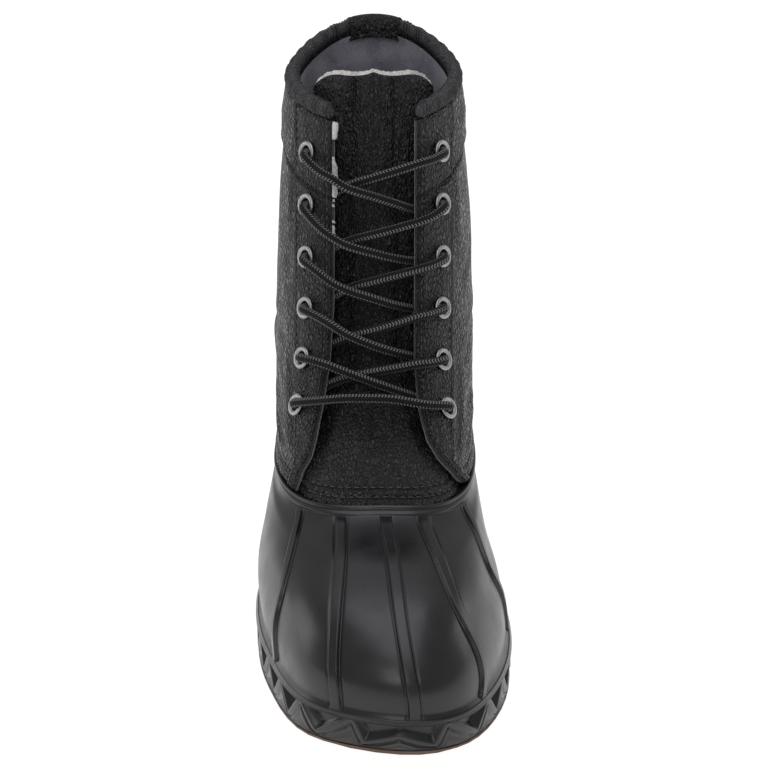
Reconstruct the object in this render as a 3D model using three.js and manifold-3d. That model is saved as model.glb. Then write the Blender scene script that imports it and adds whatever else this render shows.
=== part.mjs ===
// A women's lace-up duck boot for the right foot, in millimetres.
// The origin is on the floor under the centre of the heel, the toe points along -Y,
// the inner side of the foot (medial) is +X and +Z is up.
import * as THREE from 'three';
import Module from 'manifold-3d';
import { mergeVertices } from 'three/addons/utils/BufferGeometryUtils.js';

const wasm = await Module();
wasm.setup();

// Overall sizes
const soleLength = 280;
const ballWidth = 112;
const heelBack = 37;
const rimHeight = 76.5;
const collarHeight = 222;

// Sole
const treadDepth = 2.6;
const outsolePlate = 3.4;
const tanEdge = 1;
const treadInset = 4.5;
const cupWall = 5.6;
const toeSpring = 10;
const toeBreak = 118;
const archRise = 1.4;
const archBack = 22;
const archLength = 66;
const lugPitch = 24;
const lugWidth = 13;
const lugWave = 7;
const lugWavePitch = 36;
const treadBorder = 7;

// Rubber shell
const shellWall = 2.4;
const foxingRelief = 1.5;
const zigzagPitch = 22;
const rimBand = 6;
const rimProud = 1.1;
const flangeHeight = 12;
const flangeWall = 1.8;
const flangeBlend = 18;
const ribWidth = 5;
const ribHeight = 1.2;
const ribShoulder = 1.1;

// Leather
const quarterWall = 2.4;
const vampWall = 1.8;
const tongueWall = 4.4;
const throatGap = 36;
const cornerGap = 77;
const eyestayGap = 69;
const overlayWall = 1.1;
const cuffHeight = 32;
const cuffPad = 2.4;
const rollWidth = 5.8;
const rollHeight = 6.4;
const rollSunk = 0.9;
const seatGap = 0.5;
const heelStayWidth = 27;
const heelStayWall = 0.9;
const heelStayInside = 6;
const insoleWall = 4.5;

// Lacing
const eyeletRows = 6;
const eyeletPitch = 22.4;
const eyeletInset = 14.5;
const lowestEyelet = 43.4;
const eyeletFlange = 10;
const eyeletBore = 5.6;
const eyeletBarrel = 6.6;
const eyeletRim = 1.1;
const laceDiameter = 3.8;

// Gaps: between two pieces that touch, between the shell and the outsole, and between the soft
// pieces that lie over each other
const clearance = 0.3;
const soleGap = 0.4;
const layerGap = 0.7;

const rad = Math.PI / 180;
const shaftHeight = collarHeight - rimHeight;
const outsoleTop = treadDepth + outsolePlate;
const underQuarter = quarterWall + layerGap;
const laceRoom = laceDiameter + 2 * layerGap;

// Sole outline, right foot, seen from above. A row every 30 degrees of bearing from the toe tip
// round the inner side: along is the share of the length from the heel, across of the ball width.
const outlineTable = [
  { along: 1.0, across: 0.095 },
  { along: 0.96, across: 0.35 },
  { along: 0.8, across: 0.5 },
  { along: 0.605, across: 0.512 },
  { along: 0.385, across: 0.39 },
  { along: 0.15, across: 0.362 },
  { along: 0.0, across: 0.0 },
  { along: 0.15, across: -0.362 },
  { along: 0.385, across: -0.412 },
  { along: 0.585, across: -0.455 },
  { along: 0.76, across: -0.398 },
  { along: 0.93, across: -0.238 },
];
const outlineMedial = 0.525;
const outlineLateral = 0.456;

// Rings of the boot's outer skin, from the shell's foot up to just over the collar.
// front, wide and back are shares of the sole's length from the heel; lateral, medial and skew
// (the sideways set of the front) of the ball width. The heights are shares of the rim's height
// below it, and of the shaft's height, from the rim, above it. foot is how much of the sole's
// outline the ring keeps, and square how blunt its front is.
const ringTable = [
  { name: 'foot', front: 0.982, wide: 0.6, back: 0.013, lateral: 0.418, medial: 0.485, skew: 0.095,
    zFront: 0.22, zSide: 0.09, zBack: 0.09, foot: 1, square: 2.2 },
  { name: 'ledge', front: 0.992, wide: 0.6, back: 0.009, lateral: 0.44, medial: 0.507, skew: 0.095,
    zFront: 0.36, zSide: 0.285, zBack: 0.3, foot: 1, square: 2.2 },
  { name: 'bulge', front: 0.982, wide: 0.58, back: 0.003, lateral: 0.452, medial: 0.49, skew: 0.09,
    zFront: 0.56, zSide: 0.51, zBack: 0.57, foot: 0.94, square: 2.3 },
  { name: 'toe', front: 0.925, wide: 0.54, back: 0.006, lateral: 0.43, medial: 0.445, skew: 0.085,
    zFront: 0.77, zSide: 0.68, zBack: 0.76, foot: 0.72, square: 2.5 },
  { name: 'vamp', front: 0.8, wide: 0.47, back: 0.012, lateral: 0.405, medial: 0.415, skew: 0.068,
    zFront: 0.9, zSide: 0.81, zBack: 0.91, foot: 0.38, square: 2.7 },
  { name: 'rim', front: 0.654, wide: 0.4, back: 0.02, lateral: 0.388, medial: 0.395, skew: 0.03,
    zFront: 1, zSide: 0.905, zBack: 1.02, foot: 0, square: 2.8 },
  { name: 'instep', front: 0.527, wide: 0.275, back: 0.032, lateral: 0.398, medial: 0.398, skew: 0.01,
    zFront: 0.18, zSide: 0.165, zBack: 0.24, foot: 0, square: 2.45 },
  { name: 'ankle', front: 0.446, wide: 0.21, back: 0.037, lateral: 0.392, medial: 0.396, skew: 0,
    zFront: 0.4, zSide: 0.415, zBack: 0.485, foot: 0, square: 2.2 },
  { name: 'shaft', front: 0.394, wide: 0.18, back: 0.03, lateral: 0.382, medial: 0.382, skew: 0,
    zFront: 0.635, zSide: 0.66, zBack: 0.735, foot: 0, square: 2.1 },
  { name: 'cuff', front: 0.351, wide: 0.16, back: 0.018, lateral: 0.354, medial: 0.351, skew: 0,
    zFront: 0.848, zSide: 0.878, zBack: 0.948, foot: 0, square: 2.05 },
  { name: 'collar', front: 0.323, wide: 0.15, back: 0.004, lateral: 0.342, medial: 0.34, skew: 0,
    zFront: 1, zSide: 1.03, zBack: 1.11, foot: 0, square: 2 },
  { name: 'over', front: 0.3, wide: 0.14, back: -0.005, lateral: 0.335, medial: 0.333, skew: 0,
    zFront: 1.14, zSide: 1.17, zBack: 1.25, foot: 0, square: 2 },
];
const rimRing = 5;
const collarRing = 10;

// Half the gap between the two quarters at levels of the skin: share runs from the gap
// at the bottom corners (0) to the gap of the straight throat (1).
const throatTable = [
  { level: 5, lateral: 0, medial: 0.03 },
  { level: 5.3, lateral: 0.21, medial: 0.3 },
  { level: 5.5, lateral: 0.43, medial: 0.57 },
  { level: 5.7, lateral: 0.55, medial: 0.79 },
  { level: 5.9, lateral: 0.64, medial: 0.89 },
  { level: 6.1, lateral: 0.74, medial: 0.96 },
  { level: 6.6, lateral: 0.91, medial: 1 },
  { level: 7.2, lateral: 1, medial: 0.97 },
  { level: 12, lateral: 1, medial: 0.94 },
];

// Tongue: half its width along the skin and its depth behind it, in the middle and at the edges,
// as shares of the throat gap and of the depth that leaves room for the lace under the quarters.
// Its top spreads across the collar.
const tongueTable = [
  { level: 5.02, halfArc: 1.6, depth: 0, edge: 0.02 },
  { level: 5.3, halfArc: 1.42, depth: 0, edge: 0.02 },
  { level: 5.55, halfArc: 1.45, depth: 0.1, edge: 0.1 },
  { level: 5.72, halfArc: 1.45, depth: 0.65, edge: 0.65 },
  { level: 5.88, halfArc: 1.5, depth: 1, edge: 1 },
  { level: 6.2, halfArc: 1.55, depth: 1, edge: 1 },
  { level: 6.7, halfArc: 1.45, depth: 1, edge: 1 },
  { level: 7.3, halfArc: 1.45, depth: 1, edge: 1 },
  { level: 8.2, halfArc: 1.5, depth: 1, edge: 1 },
  { level: 9.1, halfArc: 1.65, depth: 1.15, edge: 0.9 },
  { level: 9.7, halfArc: 2.1, depth: 1.6, edge: 0.6 },
  { level: 10.1, halfArc: 2.45, depth: 1.95, edge: 0.52 },
  { level: 10.5, halfArc: 2.35, depth: 2.2, edge: 0.52 },
];

// Ribs of the shell: the bearing of each at the rim and at the sole, in degrees from the front,
// positive on the inner side.
const ribTable = [
  { atRim: -45, atSole: -55 },
  { atRim: -22, atSole: -20 },
  { atRim: 1, atSole: 6.5 },
  { atRim: 22, atSole: 43 },
  { atRim: 50, atSole: 79 },
];

// Interpolation of a table's column by its level, straight from row to row.
function lookUp(table, level, column) {
  let row = 0;
  while (row < table.length - 2 && level > table[row + 1].level) row += 1;
  const low = table[row];
  const high = table[row + 1];
  const share = Math.min(1, Math.max(0, (level - low.level) / (high.level - low.level)));
  return low[column] + (high[column] - low[column]) * share;
}

// Cubic curve through four neighbouring values.
function throughFour(before, from, to, after, share) {
  return 0.5 * (2 * from + (to - before) * share
    + (2 * before - 5 * from + 4 * to - after) * share ** 2
    + (3 * from - before - 3 * to + after) * share ** 3);
}

// Sole outline at a bearing, as shares.
function outlineAt(bearing) {
  const count = outlineTable.length;
  const place = ((bearing / 360) * count % count + count) % count;
  const row = Math.floor(place);
  const four = [row - 1, row, row + 1, row + 2].map((i) => outlineTable[(i + count) % count]);
  const share = place - row;
  return {
    along: throughFour(...four.map((r) => r.along), share),
    across: throughFour(...four.map((r) => r.across), share),
  };
}

// A column of the ring table at a level of the skin.
function ringAt(level, column) {
  const row = Math.min(ringTable.length - 2, Math.max(0, Math.floor(level)));
  const last = ringTable.length - 1;
  const four = [row - 1, row, row + 1, row + 2].map((i) => ringTable[Math.min(last, Math.max(0, i))]);
  return throughFour(...four.map((r) => r[column]), level - row);
}

// Height of a ring's column, in millimetres.
function ringHeight(level, column) {
  const row = Math.min(ringTable.length - 2, Math.max(0, Math.floor(level)));
  const last = ringTable.length - 1;
  const heights = [row - 1, row, row + 1, row + 2].map((i) => {
    const index = Math.min(last, Math.max(0, i));
    const share = ringTable[index][column];
    return index <= rimRing ? share * rimHeight : rimHeight + share * shaftHeight;
  });
  return throughFour(...heights, level - row);
}

// A point of the boot's outer skin, at a level and a bearing from the front.
function skin(level, bearing) {
  const sine = Math.sin(bearing * rad);
  const cosine = Math.cos(bearing * rad);
  const front = ringAt(level, 'front');
  const wide = ringAt(level, 'wide');
  const back = ringAt(level, 'back');
  const half = sine >= 0 ? ringAt(level, 'medial') : ringAt(level, 'lateral');
  const frontShare = Math.max(0, cosine) ** 2;
  const backShare = Math.max(0, -cosine) ** 2;
  const square = 2 + (ringAt(level, 'square') - 2) * frontShare ** 0.5;
  const reach = (Math.abs(sine) ** square + Math.abs(cosine) ** square) ** (-1 / square);
  const ovalAcross = half * reach * sine + ringAt(level, 'skew') * frontShare;
  const ovalAlong = wide + reach * cosine * (cosine >= 0 ? front - wide : wide - back);
  const sole = outlineAt(bearing);
  const medialShare = Math.min(1, Math.max(0, 0.5 + sine / 0.3));
  const lateralScale = ringAt(level, 'lateral') / outlineLateral;
  const medialScale = ringAt(level, 'medial') / outlineMedial;
  const soleAcross = sole.across * (lateralScale + (medialScale - lateralScale) * medialShare);
  const soleAlong = back + sole.along * (front - back);
  const foot = ringAt(level, 'foot');
  const across = ovalAcross + (soleAcross - ovalAcross) * foot;
  const along = ovalAlong + (soleAlong - ovalAlong) * foot;
  const zSide = ringHeight(level, 'zSide');
  const z = zSide + (ringHeight(level, 'zFront') - zSide) * frontShare
    + (ringHeight(level, 'zBack') - zSide) * backShare;
  return new THREE.Vector3(across * ballWidth, heelBack - along * soleLength, z);
}

// Unit normal of the skin, pointing out.
function skinNormal(level, bearing) {
  const step = 0.02;
  const up = skin(level + step, bearing).sub(skin(level - step, bearing));
  const round = skin(level, bearing + 1).sub(skin(level, bearing - 1));
  return round.cross(up).normalize();
}

// The skin moved out along its normal.
function skinOut(level, bearing, out) {
  return skin(level, bearing).addScaledVector(skinNormal(level, bearing), out);
}

// Bearing at a signed arc along a ring from a starting bearing.
function bearingAtArc(level, start, arc) {
  const step = Math.sign(arc);
  let left = Math.abs(arc);
  let bearing = start;
  let here = skin(level, bearing);
  while (left > 0) {
    const next = skin(level, bearing + step);
    const length = next.distanceTo(here);
    if (length >= left) return bearing + step * left / length;
    left -= length;
    bearing += step;
    here = next;
  }
  return bearing;
}

// Level at a length along the skin above a level, at a bearing; a negative length goes down.
function levelAlong(start, bearing, length) {
  const step = 0.02 * Math.sign(length);
  let left = Math.abs(length);
  let level = start;
  let here = skin(level, bearing);
  while (left > 0) {
    const next = skin(level + step, bearing);
    const grown = next.distanceTo(here);
    if (grown >= left) return level + step * left / grown;
    left -= grown;
    level += step;
    here = next;
  }
  return level;
}

// A closed body between an outer and an inner sheet of points. Each is a list of rows, from the
// bottom up, with as many points in each. A sheet that goes all the way round has no side walls.
function wallBody(outer, inner, closed) {
  const across = outer[0].length;
  const points = [...outer.flat(), ...inner.flat()];
  const faces = [];
  const quad = (a, b, c, d) => faces.push(a, b, c, a, c, d);
  const spans = closed ? across : across - 1;
  const innerFirst = outer.length * across;
  for (const [first, rows, flip] of [[0, outer.length, false], [innerFirst, inner.length, true]]) {
    for (let r = 0; r < rows - 1; r += 1) {
      for (let c = 0; c < spans; c += 1) {
        const a = first + r * across + c;
        const b = first + r * across + (c + 1) % across;
        if (flip) quad(a, a + across, b + across, b);
        else quad(a, b, b + across, a + across);
      }
    }
  }
  const topOuter = (outer.length - 1) * across;
  const topInner = innerFirst + (inner.length - 1) * across;
  for (let c = 0; c < spans; c += 1) {
    const next = (c + 1) % across;
    quad(c, innerFirst + c, innerFirst + next, next);
    quad(topOuter + c, topOuter + next, topInner + next, topInner + c);
  }
  for (const [column, flip] of closed ? [] : [[0, false], [across - 1, true]]) {
    const edge = outer.map((_, r) => r * across + column);
    const back = inner.map((_, r) => innerFirst + r * across + column);
    let low = 0;
    let high = 0;
    while (low < edge.length - 1 || high < back.length - 1) {
      const forward = low / (edge.length - 1) <= high / (back.length - 1) && low < edge.length - 1;
      const three = forward
        ? [edge[low], edge[low + 1], back[high]]
        : [edge[low], back[high + 1], back[high]];
      faces.push(...(flip ? three.reverse() : three));
      if (forward) low += 1;
      else high += 1;
    }
  }
  return bodyFrom(points, faces);
}

// A closed body from rings of points along a path, with a flat cap at each end.
function sweptBody(rings) {
  const count = rings[0].length;
  const points = rings.flat();
  const faces = [];
  for (let r = 0; r < rings.length - 1; r += 1) {
    for (let c = 0; c < count; c += 1) {
      const a = r * count + c;
      const b = r * count + (c + 1) % count;
      faces.push(a, b, b + count, a, b + count, a + count);
    }
  }
  const last = (rings.length - 1) * count;
  for (let c = 1; c < count - 1; c += 1) {
    faces.push(0, c + 1, c);
    faces.push(last, last + c, last + c + 1);
  }
  return bodyFrom(points, faces);
}

// A closed geometry whose faces point out, from points and triangles.
function bodyFrom(points, faces) {
  let volume = 0;
  for (let i = 0; i < faces.length; i += 3) {
    const [a, b, c] = [points[faces[i]], points[faces[i + 1]], points[faces[i + 2]]];
    volume += a.dot(new THREE.Vector3().crossVectors(b, c));
  }
  const geometry = new THREE.BufferGeometry();
  geometry.setAttribute('position',
    new THREE.Float32BufferAttribute(points.flatMap((p) => [p.x, p.y, p.z]), 3));
  geometry.setIndex(volume > 0 ? faces : faces.reverse());
  return geometry;
}

// A solid for cutting and joining, from a closed geometry.
function solidFrom(geometry) {
  const plain = geometry.clone();
  plain.deleteAttribute('normal');
  plain.deleteAttribute('uv');
  const merged = mergeVertices(plain, 1e-4);
  return new wasm.Manifold(new wasm.Mesh({
    numProp: 3,
    vertProperties: new Float32Array(merged.getAttribute('position').array),
    triVerts: new Uint32Array(merged.index.array),
  }));
}

// The geometry of a solid after its cuts.
function geometryFrom(solid) {
  const mesh = solid.getMesh();
  const geometry = new THREE.BufferGeometry();
  geometry.setAttribute('position', new THREE.Float32BufferAttribute(mesh.vertProperties, 3));
  geometry.setIndex(new THREE.Uint32BufferAttribute(mesh.triVerts, 1));
  return geometry;
}

// Turns +Y, the axis of lathe and cylinder geometries, to a direction, and moves to a place.
function placed(geometry, place, direction) {
  const turn = new THREE.Quaternion().setFromUnitVectors(new THREE.Vector3(0, 1, 0), direction);
  return geometry.applyQuaternion(turn).translate(place.x, place.y, place.z);
}

// Rise of the sole towards the toe.
function springAt(y) {
  const toeLength = soleLength - heelBack - toeBreak;
  const share = Math.max(0, (-y - toeBreak) / toeLength);
  return toeSpring * share ** 2;
}

// Height of the tread over the floor: the toe's rise and the shallow arch in front of the heel.
function treadRise(y) {
  const share = Math.min(1, Math.max(0, (-y - archBack) / archLength));
  return springAt(y) + archRise * Math.sin(Math.PI * share) ** 2;
}

// A point of the sole's outline, moved in towards the foot.
function soleEdge(bearing, inset) {
  const at = (b) => {
    const { along, across } = outlineAt(b);
    return new THREE.Vector2(across * ballWidth, heelBack - along * soleLength);
  };
  const tangent = at(bearing + 1).sub(at(bearing - 1)).normalize();
  return at(bearing).add(new THREE.Vector2(-tangent.y, tangent.x).multiplyScalar(inset));
}

// A plate of the sole's outline between two heights, each with its own rise along the sole.
function solePlate(inset, [low, lowRise], [high, highRise], columns) {
  const points = [];
  for (const [height, rise] of [[low, lowRise], [high, highRise]]) {
    for (let c = 0; c < columns; c += 1) {
      const point = soleEdge(360 * c / columns, inset);
      points.push(new THREE.Vector3(point.x, point.y, height + rise(point.y)));
    }
  }
  const faces = [];
  for (let c = 0; c < columns; c += 1) {
    const next = (c + 1) % columns;
    faces.push(c, next, columns + next, c, columns + next, columns + c);
  }
  // Each face is a strip of triangles between the inner and the outer side of the outline.
  for (const [first, flip] of [[0, true], [columns, false]]) {
    for (let c = 0; c < columns / 2; c += 1) {
      const [left, nextLeft] = [first + c, first + c + 1];
      const [right, nextRight] = [first + (columns - c) % columns, first + columns - c - 1];
      const fan = [];
      if (c > 0) fan.push([left, nextLeft, right]);
      if (c < columns / 2 - 1) fan.push([c > 0 ? right : left, nextLeft, nextRight]);
      fan.forEach((three) => faces.push(...(flip ? three.reverse() : three)));
    }
  }
  return bodyFrom(points, faces);
}

// A wavy tread bar across the sole at a station.
function treadBar(y, low, high) {
  const waves = Math.ceil(ballWidth / lugWavePitch);
  const front = [];
  const back = [];
  for (let i = -waves; i <= waves; i += 1) {
    const middle = y + (i % 2 === 0 ? lugWave / 2 : -lugWave / 2);
    front.push(new THREE.Vector2(i * lugWavePitch / 2, middle - lugWidth / 2));
    back.unshift(new THREE.Vector2(i * lugWavePitch / 2, middle + lugWidth / 2));
  }
  const bar = new THREE.ExtrudeGeometry(new THREE.Shape([...front, ...back]),
    { depth: high - low, bevelEnabled: false });
  return bar.translate(0, 0, low);
}

const group = new THREE.Group();
function addPiece(name, geometry, material) {
  const mesh = new THREE.Mesh(geometry, material);
  mesh.name = name;
  group.add(mesh);
}
const blackRubber = new THREE.MeshStandardMaterial({ color: 0x1b1b1d, roughness: 0.38, metalness: 0 });
const tanRubber = new THREE.MeshStandardMaterial({ color: 0x9a7454, roughness: 0.7, metalness: 0 });
const blackLeather = new THREE.MeshStandardMaterial({ color: 0x202022, roughness: 0.55, metalness: 0 });
const greyLining = new THREE.MeshStandardMaterial({ color: 0x5a5d66, roughness: 0.95, metalness: 0 });
const darkNickel = new THREE.MeshStandardMaterial({ color: 0x77797c, roughness: 0.35, metalness: 1 });
const laceCord = new THREE.MeshStandardMaterial({ color: 0x2c2c2e, roughness: 0.9, metalness: 0 });

// Outsole: a plate inside the shell's foxing, a thin edge that shows below it, and a tread of
// wavy bars and a border on a curve that lifts at the toe.
function outsole() {
  const seam = treadDepth + tanEdge / 2;
  const flat = () => 0;
  const tread = solidFrom(solePlate(treadInset, [0, treadRise], [seam, springAt], 42));
  const edge = solidFrom(solePlate(0, [treadDepth, springAt], [treadDepth + tanEdge, springAt], 60));
  const plate = solidFrom(solePlate(cupWall + 2 * soleGap, [seam, springAt], [outsoleTop, springAt], 60));
  const reach = toeSpring + outsoleTop;
  let pattern = solidFrom(solePlate(0, [-1, flat], [reach, flat], 32))
    .subtract(solidFrom(solePlate(treadInset + treadBorder, [-2, flat], [reach + 1, flat], 32)));
  const count = Math.floor((soleLength - 2 * treadBorder) / lugPitch);
  for (let i = 0; i < count; i += 1) {
    const y = heelBack - treadBorder - (i + 0.5) * lugPitch;
    pattern = pattern.add(solidFrom(treadBar(y, -1, reach)));
  }
  return geometryFrom(edge.add(plate).add(tread.intersect(pattern)));
}
addPiece('outsole', outsole(), tanRubber);

// Corners of the foxing's raised zigzag: arc from the toe tip and height as a share of the
// foxing's. The wide shape of the toe bumper comes first, then the even zigzag along the side.
const bumperTable = [
  { arc: 0, height: 0.5 },
  { arc: 15, height: 0.16 },
  { arc: 20, height: 0.9 },
  { arc: 29, height: 0.52 },
  { arc: 38, height: 0.14 },
];
function zigzagCorners(length) {
  const corners = bumperTable.map((row) => ({ ...row }));
  const start = bumperTable[bumperTable.length - 1].arc;
  const teeth = Math.round((length - start) / zigzagPitch);
  const half = (length - start) / teeth / 2;
  for (let i = 1; i <= 2 * teeth; i += 1) {
    corners.push({ arc: start + i * half, height: i % 2 === 1 ? 0.9 : 0.14 });
  }
  return corners;
}

// Arc from the toe tip round one side of the sole, as a table of bearings.
function soleArcs(side) {
  const table = [];
  let arc = 0;
  let here = soleEdge(0, 0);
  for (let bearing = 0; bearing <= 180; bearing += 0.5) {
    const next = soleEdge(side * bearing, 0);
    arc += next.distanceTo(here);
    here = next;
    table.push({ level: arc, bearing: side * bearing });
  }
  return table;
}

// Foxing: the shell's thick foot, with a raised zigzag round its side and a flat ledge on top.
function foxing() {
  const columns = [];
  for (const side of [1, -1]) {
    const table = soleArcs(side);
    const found = zigzagCorners(table[table.length - 1].level).map((corner) => ({
      bearing: lookUp(table, corner.arc, 'bearing'), height: corner.height,
    }));
    columns.push(...(side === 1 ? found : found.slice(1, -1).reverse()));
  }
  const pocket = (tall) => foxingRelief * Math.min(1, tall / 0.35);
  const outer = [[], [], [], [], []];
  const inner = [[], []];
  for (const { bearing, height } of columns) {
    const bottom = treadDepth + tanEdge + soleGap + springAt(soleEdge(bearing, 0).y);
    const top = skin(1, bearing).z;
    const point = (share, inset) => {
      const edge = soleEdge(bearing, inset);
      return new THREE.Vector3(edge.x, edge.y, bottom + (top - bottom) * share);
    };
    const rows = [
      [0, 0], [height / 2, pocket(height)], [height, 0], [(1 + height) / 2, pocket(1 - height)], [1, 0],
    ];
    rows.forEach(([share, inset], i) => outer[i].push(point(share, inset)));
    inner[0].push(point(0, cupWall));
    inner[1].push(point(1, cupWall - shellWall / 2));
  }
  return wallBody(outer, inner, true);
}

// Depth of the shell's flange under the leather, deeper where the vamp lies between.
const vampHalf = tongueTable[0].halfArc * cornerGap / 2;
const rimArcs = [-1, 1].map((side) => {
  const table = [{ level: 0, bearing: 0 }];
  for (let bearing = 1; bearing <= 180; bearing += 1) {
    const grown = skin(rimRing, side * bearing).distanceTo(skin(rimRing, side * (bearing - 1)));
    table.push({ level: table[bearing - 1].level + grown, bearing });
  }
  return table;
});
function flangeDepth(bearing) {
  const turned = bearing > 180 ? bearing - 360 : bearing;
  const table = rimArcs[turned < 0 ? 0 : 1];
  const arc = table[Math.round(Math.abs(turned))].level;
  const share = Math.min(1, Math.max(0, (vampHalf + 2 * flangeBlend - arc) / flangeBlend));
  return underQuarter + share * (vampWall + layerGap);
}

// Ribs: flat-topped strips from the rim band down to the ledge.
function ribBody(rib) {
  const rows = 7;
  const outer = [];
  const inner = [];
  const half = ribWidth / 2;
  for (let r = 0; r < rows; r += 1) {
    const level = 1.01 + (rimRing - 0.12 - 1.01) * r / (rows - 1);
    const bearing = rib.atSole + (rib.atRim - rib.atSole) * r / (rows - 1);
    const place = (arc, out) => skinOut(level, bearingAtArc(level, bearing, arc), out);
    outer.push([[-half, -0.2], [-half + ribShoulder, ribHeight], [half - ribShoulder, ribHeight],
      [half, -0.2]].map(([arc, out]) => place(arc, out)));
    inner.push([-half, -half + ribShoulder, half - ribShoulder, half]
      .map((arc) => place(arc, -shellWall / 2)));
  }
  return wallBody(outer, inner, false);
}

// Rubber shell: moulded in one piece with its foxing, ribs, rim band and stitching flange.
function rubberShell() {
  const columns = 40;
  const outer = [];
  const inner = [];
  const bearings = Array.from({ length: columns }, (_, c) => 360 * c / columns);
  const onSole = (bearing, out) => {
    const point = skin(0, bearing);
    const away = skinNormal(0, bearing).setZ(0).normalize();
    return point.clone().addScaledVector(away, out).setZ(outsoleTop + soleGap + springAt(point.y));
  };
  const flangeTop = (b) => levelAlong(rimRing, b, flangeHeight);
  outer.push(bearings.map((b) => onSole(b, 0)));
  for (const level of [1, 1.6, 2.3, 3, 3.7, 4.3]) {
    outer.push(bearings.map((b) => skin(level, b)));
  }
  outer.push(bearings.map((b) => skin(levelAlong(rimRing, b, -rimBand), b)));
  outer.push(bearings.map((b) => skinOut(levelAlong(rimRing, b, -rimBand + rimProud / 2), b, rimProud)));
  outer.push(bearings.map((b) => skinOut(rimRing, b, rimProud)));
  outer.push(bearings.map((b) => skinOut(rimRing, b, -flangeDepth(b))));
  outer.push(bearings.map((b) => skinOut(flangeTop(b), b, -flangeDepth(b))));
  inner.push(bearings.map((b) => onSole(b, -shellWall)));
  for (const level of [1, 2.4, 3.7]) {
    inner.push(bearings.map((b) => skinOut(level, b, -shellWall)));
  }
  inner.push(bearings.map((b) => skinOut(levelAlong(rimRing, b, -rimBand), b, -shellWall)));
  inner.push(bearings.map((b) => skinOut(rimRing, b, -flangeDepth(b) - flangeWall)));
  inner.push(bearings.map((b) => skinOut(flangeTop(b), b, -flangeDepth(b) - flangeWall)));
  let shell = solidFrom(wallBody(outer, inner, true)).add(solidFrom(foxing()));
  for (const rib of ribTable) shell = shell.add(solidFrom(ribBody(rib)));
  return geometryFrom(shell);
}
addPiece('rubber_shell', rubberShell(), blackRubber);

// Insole: lies on the outsole inside the shell.
function insole() {
  const inset = cupWall + shellWall + 2 * clearance;
  const low = outsoleTop + clearance;
  return solePlate(inset, [low, springAt], [low + insoleWall, springAt], 48);
}
addPiece('insole', insole(), greyLining);

// Half the gap between the quarters at a level.
function throatHalf(level, side) {
  const share = lookUp(throatTable, level, side < 0 ? 'lateral' : 'medial');
  return (cornerGap + (throatGap - cornerGap) * share) / 2;
}
// Bearing on one side where the skin is a distance sideways from a middle line.
function bearingAcross(level, side, middle, half) {
  let low = 0;
  let high = 88;
  for (let i = 0; i < 24; i += 1) {
    const bearing = (low + high) / 2;
    if ((skin(level, bearing * side).x - middle) * side < half) low = bearing;
    else high = bearing;
  }
  return low * side;
}
function throatBearing(level, side) {
  return bearingAcross(level, side, skin(level, 0).x, throatHalf(level, side));
}

// Columns of the quarters: four over the eyestay, by share of its width, one just past its seam
// and the rest at fixed bearings round to the heel.
const seamStep = 0.8;
const narrowestStay = 5;
const quarterColumns = [
  ...[0, 0.33, 0.67, 1].map((share) => ({ zone: 'eyestay', share })),
  { zone: 'seam', pad: 0 },
  ...[75, 88, 102, 116, 130, 144, 157, 169, 180].map((bearing) => (
    { zone: 'side', bearing, pad: Math.min(1, (bearing - 62) / 26) })),
];
function columnBearing(level, side, column) {
  if (column.zone === 'side') return side * column.bearing;
  const edge = throatBearing(level, side);
  const line = Math.abs(bearingAcross(level, side, 0, eyestayGap / 2));
  const seam = side * Math.max(line, Math.abs(edge) + narrowestStay);
  return column.zone === 'seam' ? seam + side * seamStep : edge + (seam - edge) * column.share;
}

// Level of the quarters' top edge and of the cuff's lower seam, which drops at the throat.
function topLevel(bearing) {
  return levelAlong(collarRing, bearing, -rollHeight - rollSunk);
}
function seamLevel(bearing) {
  const drop = 1 + 0.3 * Math.max(0, Math.cos(bearing * rad));
  return levelAlong(collarRing, bearing, -cuffHeight * drop);
}

// Rows of the quarters: below the cuff's seam and above it.
// out is the share of the padding outside and pad inside.
const quarterRows = [
  ...[0, 0.05, 0.12, 0.21, 0.32, 0.45, 0.61, 0.8, 1].map((share) => (
    { part: 'shaft', share, out: 0, pad: 0 })),
  { part: 'cuff', share: 0.07, out: 0.55, pad: 0.3 },
  { part: 'cuff', share: 0.45, out: 1, pad: 1 },
  { part: 'cuff', share: 1, out: 0.45, pad: 1 },
];
function rowLevel(row, bearing) {
  const bottom = levelAlong(rimRing, bearing, layerGap);
  const seam = seamLevel(bearing);
  return row.part === 'shaft'
    ? bottom + (seam - bottom) * row.share
    : seam + (topLevel(bearing) - seam) * row.share;
}
function quarterPlace(row, side, column) {
  let level = 7;
  let bearing = columnBearing(level, side, column);
  for (let i = 0; i < 3; i += 1) {
    level = rowLevel(row, bearing);
    bearing = columnBearing(level, side, column);
  }
  return { level, bearing };
}

// Middle of each eyelet on the skin, by side and by row from the lowest.
const eyeletPlaces = [];
for (const side of [-1, 1]) {
  for (let row = 0; row < eyeletRows; row += 1) {
    const line = throatBearing(collarRing - 3, side);
    const level = levelAlong(rimRing, line, lowestEyelet + row * eyeletPitch);
    const edge = throatBearing(level, side);
    const bearing = bearingAtArc(level, edge, side * eyeletInset);
    eyeletPlaces.push({ side, row, level, edge, bearing });
  }
}

// How far the upper's outer face stands off the skin, in millimetres, by column and row.
function quarterOut(column, row) {
  return column.zone === 'eyestay' ? overlayWall : cuffPad * row.out * column.pad;
}

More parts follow.
